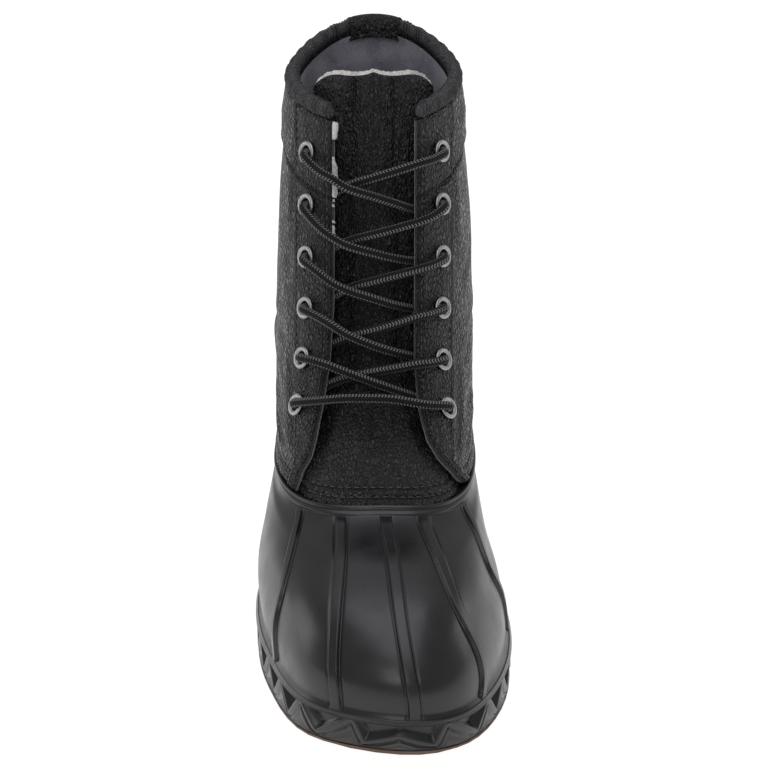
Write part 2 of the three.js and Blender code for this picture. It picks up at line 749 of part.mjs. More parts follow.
// Upper: the two quarters round the heel in one wall, open at the throat and the collar, with
// the eyestays and the padded cuff as steps in it.
function upper() {
  const columns = [
    ...quarterColumns.map((column) => [-1, column]),
    ...quarterColumns.slice(0, -1).reverse().map((column) => [1, column]),
  ];
  const sheet = (outOf) => quarterRows.map((row) => columns.map(([side, column]) => {
    const { level, bearing } = quarterPlace(row, side, column);
    return skinOut(level, bearing, outOf(column, row));
  }));
  const outer = sheet(quarterOut);
  const inner = sheet((column, row) => -quarterWall - cuffPad * row.pad * (column.pad ?? 0));
  let wall = solidFrom(wallBody(outer, inner, false));
  const radius = (eyeletBarrel / 2 + clearance) / Math.cos(Math.PI / 6);
  for (const { level, bearing } of eyeletPlaces) {
    const hole = new THREE.CylinderGeometry(radius, radius, 5 * quarterWall, 6);
    wall = wall.subtract(solidFrom(placed(hole, skin(level, bearing), skinNormal(level, bearing))));
  }
  return geometryFrom(wall);
}
addPiece('upper', upper(), blackLeather);

// Tongue: one piece with the vamp, which fills the gap between the quarters over the rim and
// goes up behind the lace, thicker as it rises.
function tongue() {
  const columns = 13;
  const outer = [];
  const inner = [];
  for (const row of tongueTable) {
    const wall = vampWall + (tongueWall - vampWall) * Math.min(1, row.depth);
    const half = row.halfArc * throatHalf(row.level, -1);
    const places = Array.from({ length: columns }, (_, c) => {
      const share = 2 * c / (columns - 1) - 1;
      return {
        bearing: share === 0 ? 0 : bearingAtArc(row.level, 0, half * share),
        depth: underQuarter + laceRoom * (row.depth + (row.edge - row.depth) * share ** 2),
      };
    });
    outer.push(places.map(({ bearing, depth }) => skinOut(row.level, bearing, -depth)));
    inner.push(places.map(({ bearing, depth }) => skinOut(row.level, bearing, -depth - wall)));
  }
  return wallBody(outer, inner, false);
}
addPiece('tongue', tongue(), blackLeather);

// Depth of the collar roll's middle, by how much padding the wall has there.
function rollMiddle(pad) {
  return -quarterWall / 2 - pad * cuffPad / 4;
}

// Collar roll: the padded binding along the top of the quarters, from throat to throat.
function collarRoll() {
  const columns = [
    ...quarterColumns.map((column) => [-1, column]),
    ...quarterColumns.slice(0, -1).reverse().map((column) => [1, column]),
  ];
  const sides = 8;
  const rings = columns.map(([side, column]) => {
    const { bearing } = quarterPlace(quarterRows[quarterRows.length - 1], side, column);
    const top = topLevel(bearing);
    const level = levelAlong(top, bearing, seatGap + rollHeight / 2);
    const up = skin(level + 0.02, bearing).sub(skin(level - 0.02, bearing)).normalize();
    const middle = skinOut(level, bearing, rollMiddle(column.pad ?? 0));
    const normal = skinNormal(level, bearing);
    return Array.from({ length: sides }, (_, i) => {
      const turn = Math.PI * 2 * (i + 0.5) / sides;
      const across = Math.cos(turn) / Math.cos(Math.PI / sides);
      const along = Math.sin(turn) / Math.cos(Math.PI / sides);
      return middle.clone().addScaledVector(normal, across * rollWidth / 2)
        .addScaledVector(up, along * rollHeight / 2);
    });
  });
  return sweptBody(rings);
}
addPiece('collar_roll', collarRoll(), blackLeather);

// Heel stay: a strip up the middle of the heel that folds over the collar roll to the inside.
function heelStay() {
  const columns = [-1, -0.5, 0, 0.5, 1];
  const sheet = (off) => {
    const outside = quarterRows
      .filter((row, i) => row.part === 'cuff' || [1, 3, 4, 5, 6, 7, 8].includes(i))
      .map((row) => (bearing) => [rowLevel(row, bearing), cuffPad * row.out + off]);
    const round = [0.5, 1.5, 2.5, 3.5].map((eighth) => (bearing) => {
      const turn = Math.PI * eighth / 4;
      const [wide, tall] = [rollWidth, rollHeight].map((size) => (size / 2 + off) / Math.cos(Math.PI / 8));
      const rise = seatGap + rollHeight / 2 + tall * Math.sin(turn);
      return [levelAlong(topLevel(bearing), bearing, rise), rollMiddle(1) + wide * Math.cos(turn)];
    });
    const inside = [-1, -heelStayInside].map((drop) => (bearing) => (
      [levelAlong(topLevel(bearing), bearing, drop), -quarterWall - cuffPad - layerGap - off]));
    return [...outside, ...round, ...inside].map((place) => columns.map((share) => {
      const [level] = place(180);
      const bearing = bearingAtArc(level, 180, share * heelStayWidth / 2 || 1e-6);
      const [there, out] = place(bearing);
      return skinOut(there, bearing, out);
    }));
  };
  return wallBody(sheet(seatGap + heelStayWall), sheet(seatGap), false);
}
addPiece('heel_stay', heelStay(), blackLeather);

// Eyelets: turned rings set through the quarters' holes from outside.
function eyelet({ level, bearing }) {
  const bore = eyeletBore / 2;
  const seat = overlayWall + seatGap;
  const profile = [
    [bore, -quarterWall], [eyeletBarrel / 2, -quarterWall], [eyeletBarrel / 2, seat],
    [eyeletFlange / 2, seat], [(bore + eyeletFlange / 2) / 2, seat + eyeletRim],
    [bore, seat + eyeletRim / 2], [bore, -quarterWall],
  ].map(([x, y]) => new THREE.Vector2(x, y));
  return placed(new THREE.LatheGeometry(profile, 8), skin(level, bearing), skinNormal(level, bearing));
}
for (const place of eyeletPlaces) {
  const name = `eyelet_${place.side < 0 ? 'lateral' : 'medial'}_${place.row + 1}`;
  addPiece(name, eyelet(place), darkNickel);
}

// A stretch of lace through points given by level, bearing and height over the skin.
function laceStretch(points, steps) {
  const path = new THREE.CatmullRomCurve3(points.map(([level, bearing, out]) => (
    skinOut(level, bearing, out))), false, 'centripetal');
  const radius = laceDiameter / 2;
  const section = new THREE.Shape(Array.from({ length: 8 }, (_, i) => (
    new THREE.Vector2(radius * Math.cos(Math.PI * i / 4), radius * Math.sin(Math.PI * i / 4)))));
  return new THREE.ExtrudeGeometry(section, { steps, bevelEnabled: false, extrudePath: path });
}
function placeOf(side, row) {
  return eyeletPlaces.find((place) => place.side === side && place.row === row);
}

// Height of the lace's middle over the skin: on an eyelet, over the quarter's edge, and under it.
const laceOver = overlayWall + seatGap + eyeletRim + laceDiameter / 2 + layerGap;
const laceOnEdge = overlayWall + laceDiameter / 2 + layerGap;
const laceUnder = -quarterWall - laceDiameter / 2 - layerGap;

// The bar across the lowest row of eyelets.
function laceBar() {
  const [from, to] = [placeOf(-1, 0), placeOf(1, 0)];
  return laceStretch([
    [from.level, from.bearing, laceOver], [from.level, from.edge, laceOver],
    [from.level - 0.03, from.edge / 2, laceOver], [from.level - 0.04, 0, laceOver],
    [to.level - 0.03, to.edge / 2, laceOver], [to.level, to.edge, laceOver],
    [to.level, to.bearing, laceOver],
  ], 8);
}
addPiece('lace_bar', laceBar(), laceCord);

// One crossing: from each eyelet of a row, over its quarter's edge and across the tongue, under
// the other quarter to the eyelet below.
function laceCrossing(row) {
  const strand = (side, raised) => {
    const [from, to] = [placeOf(side, row), placeOf(-side, row - 1)];
    const level = (share) => from.level + (to.level - from.level) * share;
    return laceStretch([
      [from.level, from.bearing, laceOver],
      [level(0.07), (from.bearing + from.edge) / 2, laceOver],
      [level(0.16), from.edge, laceOnEdge + clearance], [level(0.28), from.edge * 0.72, laceOnEdge * 0.5],
      [level(0.45), from.edge * 0.15, raised],
      [level(0.6), to.edge * 0.5, laceUnder * 0.5], [level(0.78), to.edge * 0.93, laceUnder],
      [to.level, to.bearing, laceUnder],
    ], 7);
  };
  return geometryFrom(solidFrom(strand(-1, 0.6)).add(solidFrom(strand(1, -laceDiameter * 0.4))));
}
for (let row = 1; row < eyeletRows; row += 1) {
  addPiece(`lace_crossing_${row}`, laceCrossing(row), laceCord);
}

export default group;
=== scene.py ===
# %% [markdown]
# # A duck boot: rubber shell below, leather shaft above
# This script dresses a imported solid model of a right-foot duck boot. The solids give the places
# and the sizes. Here each of them gets the shape and the finish that the eye expects: moulded
# rubber, pebbled leather, nickel rings and a woven lace. We start by loading the solids.

# %% Load the solid model
import math

import bmesh
import bpy
import numpy as np
from mathutils import Matrix, Vector


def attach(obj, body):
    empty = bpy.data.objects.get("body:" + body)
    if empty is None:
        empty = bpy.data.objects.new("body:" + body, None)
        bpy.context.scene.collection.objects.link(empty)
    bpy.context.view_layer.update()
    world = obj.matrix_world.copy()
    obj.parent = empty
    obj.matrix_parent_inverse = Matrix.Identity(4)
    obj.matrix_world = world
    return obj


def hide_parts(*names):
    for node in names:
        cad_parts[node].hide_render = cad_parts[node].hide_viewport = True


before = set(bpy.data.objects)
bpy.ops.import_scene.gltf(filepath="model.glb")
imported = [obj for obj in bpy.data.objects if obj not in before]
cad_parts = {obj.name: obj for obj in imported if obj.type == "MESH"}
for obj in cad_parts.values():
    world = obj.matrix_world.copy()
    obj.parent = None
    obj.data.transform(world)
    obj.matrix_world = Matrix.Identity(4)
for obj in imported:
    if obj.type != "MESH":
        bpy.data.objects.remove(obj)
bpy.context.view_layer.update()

# %% [markdown]
# ## The last
# A shoemaker builds every boot on a last, a solid foot shape. Ours is a table of rings from the
# foot of the shell up to the collar, the same as in the solid model. A point of its skin is given
# by a level (which ring, counted from the bottom) and a bearing (degrees from the toe, positive
# towards the inner side). Every piece is drawn flat first and then laid on this skin, which is
# why neighbours meet exactly. Lengths on the last are in millimetres.

# %% Sizes of the last
SOLE_LENGTH, BALL_WIDTH, HEEL_BACK = 280, 112, 37
RIM_HEIGHT, COLLAR_HEIGHT = 76.5, 222
RING_NAMES = ("front", "wide", "back", "lateral", "medial", "skew",
              "front_height", "side_height", "back_height", "foot", "square")
RINGS = np.array([
    (0.982, 0.6, 0.013, 0.418, 0.485, 0.095, 0.22, 0.09, 0.09, 1, 2.2),
    (0.992, 0.6, 0.009, 0.44, 0.507, 0.095, 0.36, 0.285, 0.3, 1, 2.2),
    (0.982, 0.58, 0.003, 0.452, 0.49, 0.09, 0.56, 0.51, 0.57, 0.94, 2.3),
    (0.925, 0.54, 0.006, 0.43, 0.445, 0.085, 0.77, 0.68, 0.76, 0.72, 2.5),
    (0.8, 0.47, 0.012, 0.405, 0.415, 0.068, 0.9, 0.81, 0.91, 0.38, 2.7),
    (0.654, 0.4, 0.02, 0.388, 0.395, 0.03, 1, 0.905, 1.02, 0, 2.8),
    (0.527, 0.275, 0.032, 0.398, 0.398, 0.01, 0.18, 0.165, 0.24, 0, 2.45),
    (0.446, 0.21, 0.037, 0.392, 0.396, 0, 0.4, 0.415, 0.485, 0, 2.2),
    (0.394, 0.18, 0.03, 0.382, 0.382, 0, 0.635, 0.66, 0.735, 0, 2.1),
    (0.351, 0.16, 0.018, 0.354, 0.351, 0, 0.848, 0.878, 0.948, 0, 2.05),
    (0.323, 0.15, 0.004, 0.342, 0.34, 0, 1, 1.03, 1.11, 0, 2),
    (0.3, 0.14, -0.005, 0.335, 0.333, 0, 1.14, 1.17, 1.25, 0, 2),
])
RIM_RING, COLLAR_RING = 5, 10
SHAFT_HEIGHT = COLLAR_HEIGHT - RIM_HEIGHT
OUTLINE_ALONG = np.array([1, 0.96, 0.8, 0.605, 0.385, 0.15, 0, 0.15, 0.385, 0.585, 0.76, 0.93])
OUTLINE_ACROSS = np.array([0.095, 0.35, 0.5, 0.512, 0.39, 0.362, 0, -0.362, -0.412, -0.455,
                           -0.398, -0.238])
OUTLINE_MEDIAL, OUTLINE_LATERAL = 0.525, 0.456
for column in (6, 7, 8):
    above = RINGS[RIM_RING + 1:, column] * SHAFT_HEIGHT + RIM_HEIGHT
    RINGS[:, column] = np.append(RINGS[:RIM_RING + 1, column] * RIM_HEIGHT, above)
RING = dict(zip(RING_NAMES, RINGS.T))
print("rings of the last:", len(RINGS))


# %% The skin of the last
def through_four(a, b, c, d, t):
    """The cubic curve from b to c that heads for its neighbours a and d."""
    return 0.5 * (2 * b + (c - a) * t + (2 * a - 5 * b + 4 * c - d) * t ** 2
                  + (3 * b - a - 3 * c + d) * t ** 3)


def ring_value(name, level):
    rows, last = RING[name], len(RINGS) - 1
    row = np.clip(np.floor(level), 0, last - 1).astype(int)
    return through_four(*(rows[np.clip(row + k, 0, last)] for k in (-1, 0, 1, 2)), level - row)


def outline_at(bearing):
    place = np.mod(np.asarray(bearing, float) / 30, 12)
    row = np.floor(place).astype(int)
    return [through_four(*(table[(row + k) % 12] for k in (-1, 0, 1, 2)), place - row)
            for table in (OUTLINE_ALONG, OUTLINE_ACROSS)]


def skin(level, bearing):
    """Points of the last's skin, in millimetres."""
    level, bearing = np.broadcast_arrays(np.asarray(level, float), np.asarray(bearing, float))
    sine, cosine = np.sin(np.radians(bearing)), np.cos(np.radians(bearing))
    front, wide, back = (ring_value(name, level) for name in ("front", "wide", "back"))
    half = np.where(sine >= 0, ring_value("medial", level), ring_value("lateral", level))
    to_front, to_back = np.maximum(0, cosine) ** 2, np.maximum(0, -cosine) ** 2
    square = 2 + (ring_value("square", level) - 2) * to_front ** 0.5
    reach = (np.abs(sine) ** square + np.abs(cosine) ** square) ** (-1 / square)
    oval_across = half * reach * sine + ring_value("skew", level) * to_front
    oval_along = wide + reach * cosine * np.where(cosine >= 0, front - wide, wide - back)
    along, across = outline_at(bearing)
    medial_share = np.clip(0.5 + sine / 0.3, 0, 1)
    sole_across = across * (ring_value("lateral", level) / OUTLINE_LATERAL * (1 - medial_share)
                            + ring_value("medial", level) / OUTLINE_MEDIAL * medial_share)
    sole_along = back + along * (front - back)
    foot = ring_value("foot", level)
    side = ring_value("side_height", level)
    height = (side + (ring_value("front_height", level) - side) * to_front
              + (ring_value("back_height", level) - side) * to_back)
    return np.stack([(oval_across + (sole_across - oval_across) * foot) * BALL_WIDTH,
                     HEEL_BACK - (oval_along + (sole_along - oval_along) * foot) * SOLE_LENGTH,
                     height], axis=-1)


def unit(vectors):
    return vectors / np.linalg.norm(vectors, axis=-1, keepdims=True)


def skin_normal(level, bearing):
    up = skin(level + 0.02, bearing) - skin(level - 0.02, bearing)
    round_it = skin(level, bearing + 1) - skin(level, bearing - 1)
    return unit(np.cross(round_it, up))


def skin_out(level, bearing, out):
    """The skin moved out along its normal."""
    return skin(level, bearing) + skin_normal(level, bearing) * np.asarray(out)[..., None]


print("toe of the ledge:", skin(1, 0).round(1), "back of the collar:", skin(10, 180).round(1))


# %% Measuring along the skin
def march(start, length, step, place_at):
    """The parameter that lies a length along the skin from a start, walking in small steps."""
    start, length = (np.array(a, float) for a in np.broadcast_arrays(start, length))
    stride, left, value = step * np.sign(length), np.abs(length), start
    here = place_at(value)
    while left.max() > 1e-6:
        there = place_at(value + stride)
        grown = np.linalg.norm(there - here, axis=-1)
        share = np.where(left > 0, np.minimum(1, left / np.maximum(grown, 1e-9)), 0)
        value = value + stride * share
        left = np.where(share < 1, 0, left - grown)
        here = there
    return value


def level_along(start, bearing, length):
    return march(start, np.broadcast_arrays(length, bearing)[0], 0.02,
                 lambda level: skin(level, bearing))


def bearing_at_arc(level, start, arc):
    return march(start, np.broadcast_arrays(arc, level)[0], 1.0, lambda turn: skin(level, turn))


def sole_edge(bearing, inset):
    """The sole's outline at a bearing, moved in towards the foot."""
    def at(turn):
        along, across = outline_at(turn)
        return np.stack([across * BALL_WIDTH, HEEL_BACK - along * SOLE_LENGTH], axis=-1)
    tangent = unit(at(bearing + 1) - at(bearing - 1))
    inward = np.stack([-tangent[..., 1], tangent[..., 0]], axis=-1)
    return at(bearing) + inward * np.asarray(inset)[..., None]


def toe_rise(y):
    return 10 * np.maximum(0, (-y - 118) / (SOLE_LENGTH - HEEL_BACK - 118)) ** 2


def ease(value, low, high):
    """0 below low, 1 above high and a soft S between them."""
    share = np.clip((value - low) / (high - low), 0, 1)
    return share * share * (3 - 2 * share)


print("bearing 50 mm round from the toe at the rim:", bearing_at_arc(np.array(5.0), 0, 50).round(1))


# %% [markdown]
# ## From flat pattern to finished piece
# A pattern is a flat grid whose corners sit at whole numbers, columns along x and rows along y.
# Holes are cut while it is flat, it is thickened by an extrude, and then one form function bends
# it round the last. Shoes are made in the same order: cut, skive, last.

# %% Helpers for patterns
def pattern(columns, rows):
    """A flat grid of faces with whole-number corners."""
    mesh = bmesh.new()
    bmesh.ops.create_grid(mesh, x_segments=columns, y_segments=rows, size=0.5)
    bmesh.ops.translate(mesh, verts=mesh.verts, vec=(0.5, 0.5, 0))
    bmesh.ops.scale(mesh, verts=mesh.verts, vec=(columns, rows, 1))
    return mesh


def thickened(mesh):
    """Extrudes the flat pattern down by one: its outer side is at z 0, its inner at z -1."""
    made = bmesh.ops.extrude_face_region(mesh, geom=mesh.faces[:], use_keep_orig=True)
    under = [part for part in made["geom"] if isinstance(part, bmesh.types.BMVert)]
    bmesh.ops.translate(mesh, verts=under, vec=(0, 0, -1))
    return mesh


def lasted(mesh, form, merge=0):
    """Moves every corner of the pattern to form(column, row, depth), given in millimetres."""
    flat = np.array([corner.co for corner in mesh.verts])
    places = form(np.rint(flat[:, 0]).astype(int), np.rint(flat[:, 1]).astype(int), flat[:, 2])
    for corner, place in zip(mesh.verts, places / 1000):
        corner.co = place
    if merge:
        bmesh.ops.remove_doubles(mesh, verts=mesh.verts, dist=merge)
    bmesh.ops.recalc_face_normals(mesh, faces=mesh.faces)
    return mesh


def piece(mesh, name, materials, slot, *nodes, smooth=True):
    """Makes the mesh an object that rides on the boot and stands for its solids."""
    data = bpy.data.meshes.new(name)
    mesh.to_mesh(data)
    mesh.free()
    for material in materials:
        data.materials.append(material)
    data.polygons.foreach_set("use_smooth", [smooth] * len(data.polygons))
    made = bpy.data.objects.new(name, data)
    bpy.context.scene.collection.objects.link(made)
    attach(made, "root")
    if nodes:
        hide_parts(*nodes)
    print(name, "faces:", len(data.polygons))
    return made


# %% [markdown]
# ## Camera, floor and light
# The photograph looks down at the toe from about 24 degrees with a long lens, so near and far
# ends keep almost the same scale. The set is a glowing white floor, which draws the pale edges
# down the flanks of the glossy shell. A long soft box overhead gives the broad sheen on the toe,
# a strip in front a small streak low on it, and two weak boxes light the sides.

# %% Camera
def aimed(thing, place, target):
    made = bpy.data.objects.new(thing.name, thing)
    bpy.context.scene.collection.objects.link(made)
    made.location = place
    made.rotation_euler = (Vector(target) - Vector(place)).to_track_quat("-Z", "Y").to_euler()
    return made


CAMERA_TILT, CAMERA_DISTANCE = math.radians(24), 1.3
middle = Vector((0.0045, -0.1, 0.11))
lens = bpy.data.cameras.new("camera")
lens.lens, lens.sensor_width, lens.shift_y = 140, 36, 0.0078
away = Vector((0, -math.cos(CAMERA_TILT), math.sin(CAMERA_TILT))) * CAMERA_DISTANCE
bpy.context.scene.camera = aimed(lens, middle + away, middle)
print("camera at", tuple(round(x, 3) for x in middle + away))


# %% Lights and floor
def soft_box(name, place, target, width, height, power):
    light = bpy.data.lights.new(name, "AREA")
    light.shape, light.size, light.size_y, light.energy = "RECTANGLE", width, height, power
    return aimed(light, place, target)


soft_box("left_box", (-1.0, 0.15, 0.3), (0, -0.1, 0.1), 0.55, 0.5, 1.4)
soft_box("right_box", (0.95, 0.35, 0.35), (0, -0.1, 0.1), 0.5, 0.5, 1.0)
top_box = soft_box("top_box", (-0.08, -0.3, 1.3), (-0.08, -0.17, 0.05), 1.0, 1.9, 9)
top_box.data.color = (0.96, 0.94, 1.0)
soft_box("front_box", (-0.3, -1.3, 0.72), (0, -0.2, 0.05), 0.45, 0.1, 1.3)
sky = bpy.data.worlds.new("studio")
sky.use_nodes = True
sky.node_tree.nodes["Background"].inputs["Color"].default_value = (1, 1, 1, 1)
sky.node_tree.nodes["Background"].inputs["Strength"].default_value = 0.4
bpy.context.scene.world = sky
bpy.context.scene.view_settings.view_transform = "Standard"
floor_mesh = bmesh.new()
bmesh.ops.create_grid(floor_mesh, x_segments=2, y_segments=2, size=4)
floor_data = bpy.data.meshes.new("floor")
floor_mesh.to_mesh(floor_data)
floor_mesh.free()
floor = bpy.data.objects.new("floor", floor_data)
bpy.context.scene.collection.objects.link(floor)


# %% [markdown]
# ## Materials
# One function adds a node with its settings and its links. Colours are given as on the web, in
# sRGB hex, and turned to linear light by another.

# %% Helpers for materials
def linear(code):
    """An sRGB hex colour as linear light with alpha."""
    parts = [int(code[i:i + 2], 16) / 255 for i in (1, 3, 5)]
    return [p / 12.92 if p <= 0.04045 else ((p + 0.055) / 1.055) ** 2.4 for p in parts] + [1.0]


def add(material, kind, inputs=(), **settings):
    """Adds a node: settings are its properties, inputs its sockets by name or number."""
    made = material.node_tree.nodes.new("ShaderNode" + kind)
    for name, value in settings.items():
        setattr(made, name, value)
    for name, value in dict(inputs).items():
        if isinstance(value, bpy.types.NodeSocket):
            material.node_tree.links.new(value, made.inputs[name])
        else:
            made.inputs[name].default_value = value
    return made


def finish_of(name, **sockets):
    """A material with a Principled surface whose plain values are set on its own sockets."""
    made = bpy.data.materials.new(name)
    made.use_nodes = True
    shader = made.node_tree.nodes["Principled BSDF"]
    for socket, value in sockets.items():
        shader.inputs[socket.replace("_", " ")].default_value = value
    return made, shader


def join(material, value, socket):
    material.node_tree.links.new(value, socket)


def shades(material, factor, *stops):
    """A colour ramp from pairs of place and hex colour."""
    ramp = add(material, "ValToRGB", {"Fac": factor})
    points = ramp.color_ramp.elements
    while len(points) < len(stops):
        points.new(0.5)
    for point, (place, code) in zip(points, stops):
        point.position, point.color = place, linear(code)
    return ramp.outputs["Color"]


# Painted cyclorama: matt, and it glows white like an overlit studio floor. Its own colour is kept
# grey, so that the lights don't add to the glow and wash out the lower rubber.
floor_paint, shader = finish_of("matt_white_paint", Roughness=0.9, Emission_Strength=0.95)
shader.inputs["Base Color"].default_value = linear("#808080")
shader.inputs["Emission Color"].default_value = linear("#ffffff")
floor_data.materials.append(floor_paint)
PER_MM = 1000.0   # a pattern's scale for one cell per millimetre

# The flat faces low on the foxing come from an unpolished part of the mould: matt. Their lighter,
# brownish colour is a painted reflection of the pale floor and the tan sole.
matt_low_rubber_painted_reflection, shader = finish_of("matt_foxing_rubber_painted_reflection", Roughness=0.5, IOR=1.52)
spot = add(matt_low_rubber_painted_reflection, "TexCoord").outputs["Object"]
cloud = add(matt_low_rubber_painted_reflection, "TexNoise", {"Vector": spot, "Scale": PER_MM / 20, "Detail": 3.0})
join(matt_low_rubber_painted_reflection, shades(matt_low_rubber_painted_reflection, cloud.outputs["Fac"], (0.35, "#2a2624"), (0.7, "#3b3633")),
     shader.inputs["Base Color"])

# Moulded natural rubber, black, released from a polished mould: deep and glossy with a soft edge
# to its reflections, and a faint orange peel.
black_rubber, shader = finish_of("moulded_black_rubber", Roughness=0.3, IOR=1.52)
spot = add(black_rubber, "TexCoord").outputs["Object"]
cloud = add(black_rubber, "TexNoise", {"Vector": spot, "Scale": PER_MM / 45, "Detail": 3.0})
join(black_rubber, shades(black_rubber, cloud.outputs["Fac"], (0.35, "#0c0c0f"), (0.7, "#141417")),
     shader.inputs["Base Color"])
smear = add(black_rubber, "TexNoise", {"Vector": spot, "Scale": PER_MM / 14, "Detail": 5.0})
gloss = add(black_rubber, "MapRange", {"Value": smear.outputs["Fac"], "From Min": 0.3,
            "From Max": 0.7, "To Min": 0.25, "To Max": 0.38})
join(black_rubber, gloss.outputs["Result"], shader.inputs["Roughness"])
peel = add(black_rubber, "TexNoise", {"Vector": spot, "Scale": PER_MM / 1.4, "Detail": 2.0})
skin_bump = add(black_rubber, "Bump", {"Height": peel.outputs["Fac"], "Strength": 0.12,
                "Distance": 0.0002})
join(black_rubber, skin_bump.outputs["Normal"], shader.inputs["Normal"])
print("materials so far:", [m.name for m in bpy.data.materials])

# %% [markdown]
# ## The rubber shell
# The real shell is moulded in one shot: a smooth cup with five flat-topped ribs fanning over the
# toe, a raised band along its rim and a thick foxing round its foot. It could be sculpted, but a
# last and a few sizes say it better. The cup is one grid wound right round the section, outside
# and in, with its columns crowded along the ribs so that their edges stay crisp.

# %% Sizes of the shell
SHELL_WALL, RIM_BAND, RIM_PROUD, FLANGE_HEIGHT, FLANGE_WALL, FLANGE_BLEND = 2.4, 6, 0.8, 12, 1.8, 18
QUARTER_WALL, VAMP_WALL, TONGUE_WALL, LAYER_GAP, SEAT_GAP = 2.4, 1.8, 4.4, 0.7, 0.5
THROAT_GAP, CORNER_GAP, LACE = 36, 77, 3.8
UNDER_QUARTER = QUARTER_WALL + LAYER_GAP
RIB_LEVELS = np.array([1.1, 2.0, 3.0, 4.0, 4.9])
RIB_BEARINGS = [(-54, -53, -52, -48.5, -45), (-20, -21, -22, -23, -22), (6.5, 5.3, 2.6, 0.5, 1.5),
                (40, 41, 35, 26, 22), (78, 75.5, 69, 59, 50)]
rib_lines = [np.polynomial.Polynomial.fit(RIB_LEVELS, turns, 3) for turns in RIB_BEARINGS]
RIB_ARCS = np.array([-3.6, -3.2, -2.9, -2.6, -2.4, -2.2, -2, -1.6, -0.8,
                     0, 0.8, 1.6, 2, 2.2, 2.4, 2.6, 2.9, 3.2, 3.6])
RIB_HEIGHT, RIB_GROOVE = 1.3, 0.35
whole_turn = np.arange(-180, 181, 2.0)
band_foot = level_along(RIM_RING, whole_turn, -RIM_BAND)
flange_top = level_along(RIM_RING, whole_turn, FLANGE_HEIGHT)
rim_arc = {side: np.append(0, np.cumsum(np.linalg.norm(np.diff(
    skin(RIM_RING, side * np.arange(181.0)), axis=0), axis=1))) for side in (-1, 1)}


def flange_depth(bearing):
    """How far the flange lies behind the skin: deeper in front, where the vamp is between."""
    arc = np.where(bearing < 0, np.interp(-bearing, np.arange(181), rim_arc[-1]),
                   np.interp(bearing, np.arange(181), rim_arc[1]))
    vamp_half = 1.6 * CORNER_GAP / 2
    share = np.clip((vamp_half + 2 * FLANGE_BLEND - arc) / FLANGE_BLEND, 0, 1)
    return UNDER_QUARTER + share * (VAMP_WALL + LAYER_GAP)


# %% Rows of the shell's section, from the foot up outside and down inside
# Each row is a kind of place, a share of the way within it and a depth behind the skin.
cup_rows = [("wall", share) for share in np.linspace(0, 1, 46)]
band_rows = [("band", share) for share in (0.02, 0.05, 0.09, 0.14, 0.2, 0.4, 0.56, 0.6, 0.64, 0.68,
                                           0.73, 0.8, 0.9, 0.96, 1)]
tuck_rows = [("tuck", share) for share in (0.15, 0.5, 1)] + [("flange", 0.5), ("flange", 1)]
lining_rows = [("back", share) for share in np.linspace(1, 0, 12)]
shell_rows = cup_rows + band_rows + tuck_rows + lining_rows

anchors = []     # columns: (number of the rib or None, place)
for number in range(len(RIB_BEARINGS)):
    anchors += [(number, arc) for arc in RIB_ARCS]
    if number < 4:
        anchors += [("gap", number, share) for share in np.linspace(0, 1, 28)[1:-1]]
anchors += [("rear", 4, share) for share in np.linspace(0, 1, 300)[1:-1]]


def shell_bearing(level, column):
    """Bearing of each column: tied to the ribs in front and evenly spread round the heel."""
    centre = np.array([line(np.clip(level, 0.95, RIM_RING)) for line in rib_lines])
    stretch = np.linalg.norm(skin(level, centre + 0.5) - skin(level, centre - 0.5), axis=-1)
    bearing = np.zeros(len(level))
    for index, spot in enumerate(anchors):
        here = column == index
        if not here.any():
            continue
        if spot[0] in ("gap", "rear"):
            low = centre[spot[1]][here] + RIB_ARCS[-1] / stretch[spot[1]][here]
            following = (spot[1] + 1) % 5
            high = centre[following][here] + RIB_ARCS[0] / stretch[following][here]
            bearing[here] = low + (high + (360 if spot[0] == "rear" else 0) - low) * spot[2]
        else:
            bearing[here] = centre[spot[0]][here] + spot[1] / stretch[spot[0]][here]
    return (bearing + 180) % 360 - 180


def rib_rise(level, column, below_band):
    """Height of a rib over the shell: flat top, steep shoulders with a fine groove beside them."""
    arc = np.array([spot[1] if not isinstance(spot[0], str) else 9 for spot in anchors])[column]
    end = np.sqrt(np.maximum(0, 1 - np.clip(1 - below_band / 2.6, 0, 1) ** 2))
    across = 1 - ease(np.abs(arc), 1.9 * end + 0.05, 2.55 * end + 0.1)
    groove = np.exp(-((np.abs(arc) - 2.95) / 0.35) ** 2)
    along = ease(level, 1.0, 1.08) * ease(below_band, 0, 0.8)
    return along * (RIB_HEIGHT * across - RIB_GROOVE * groove)


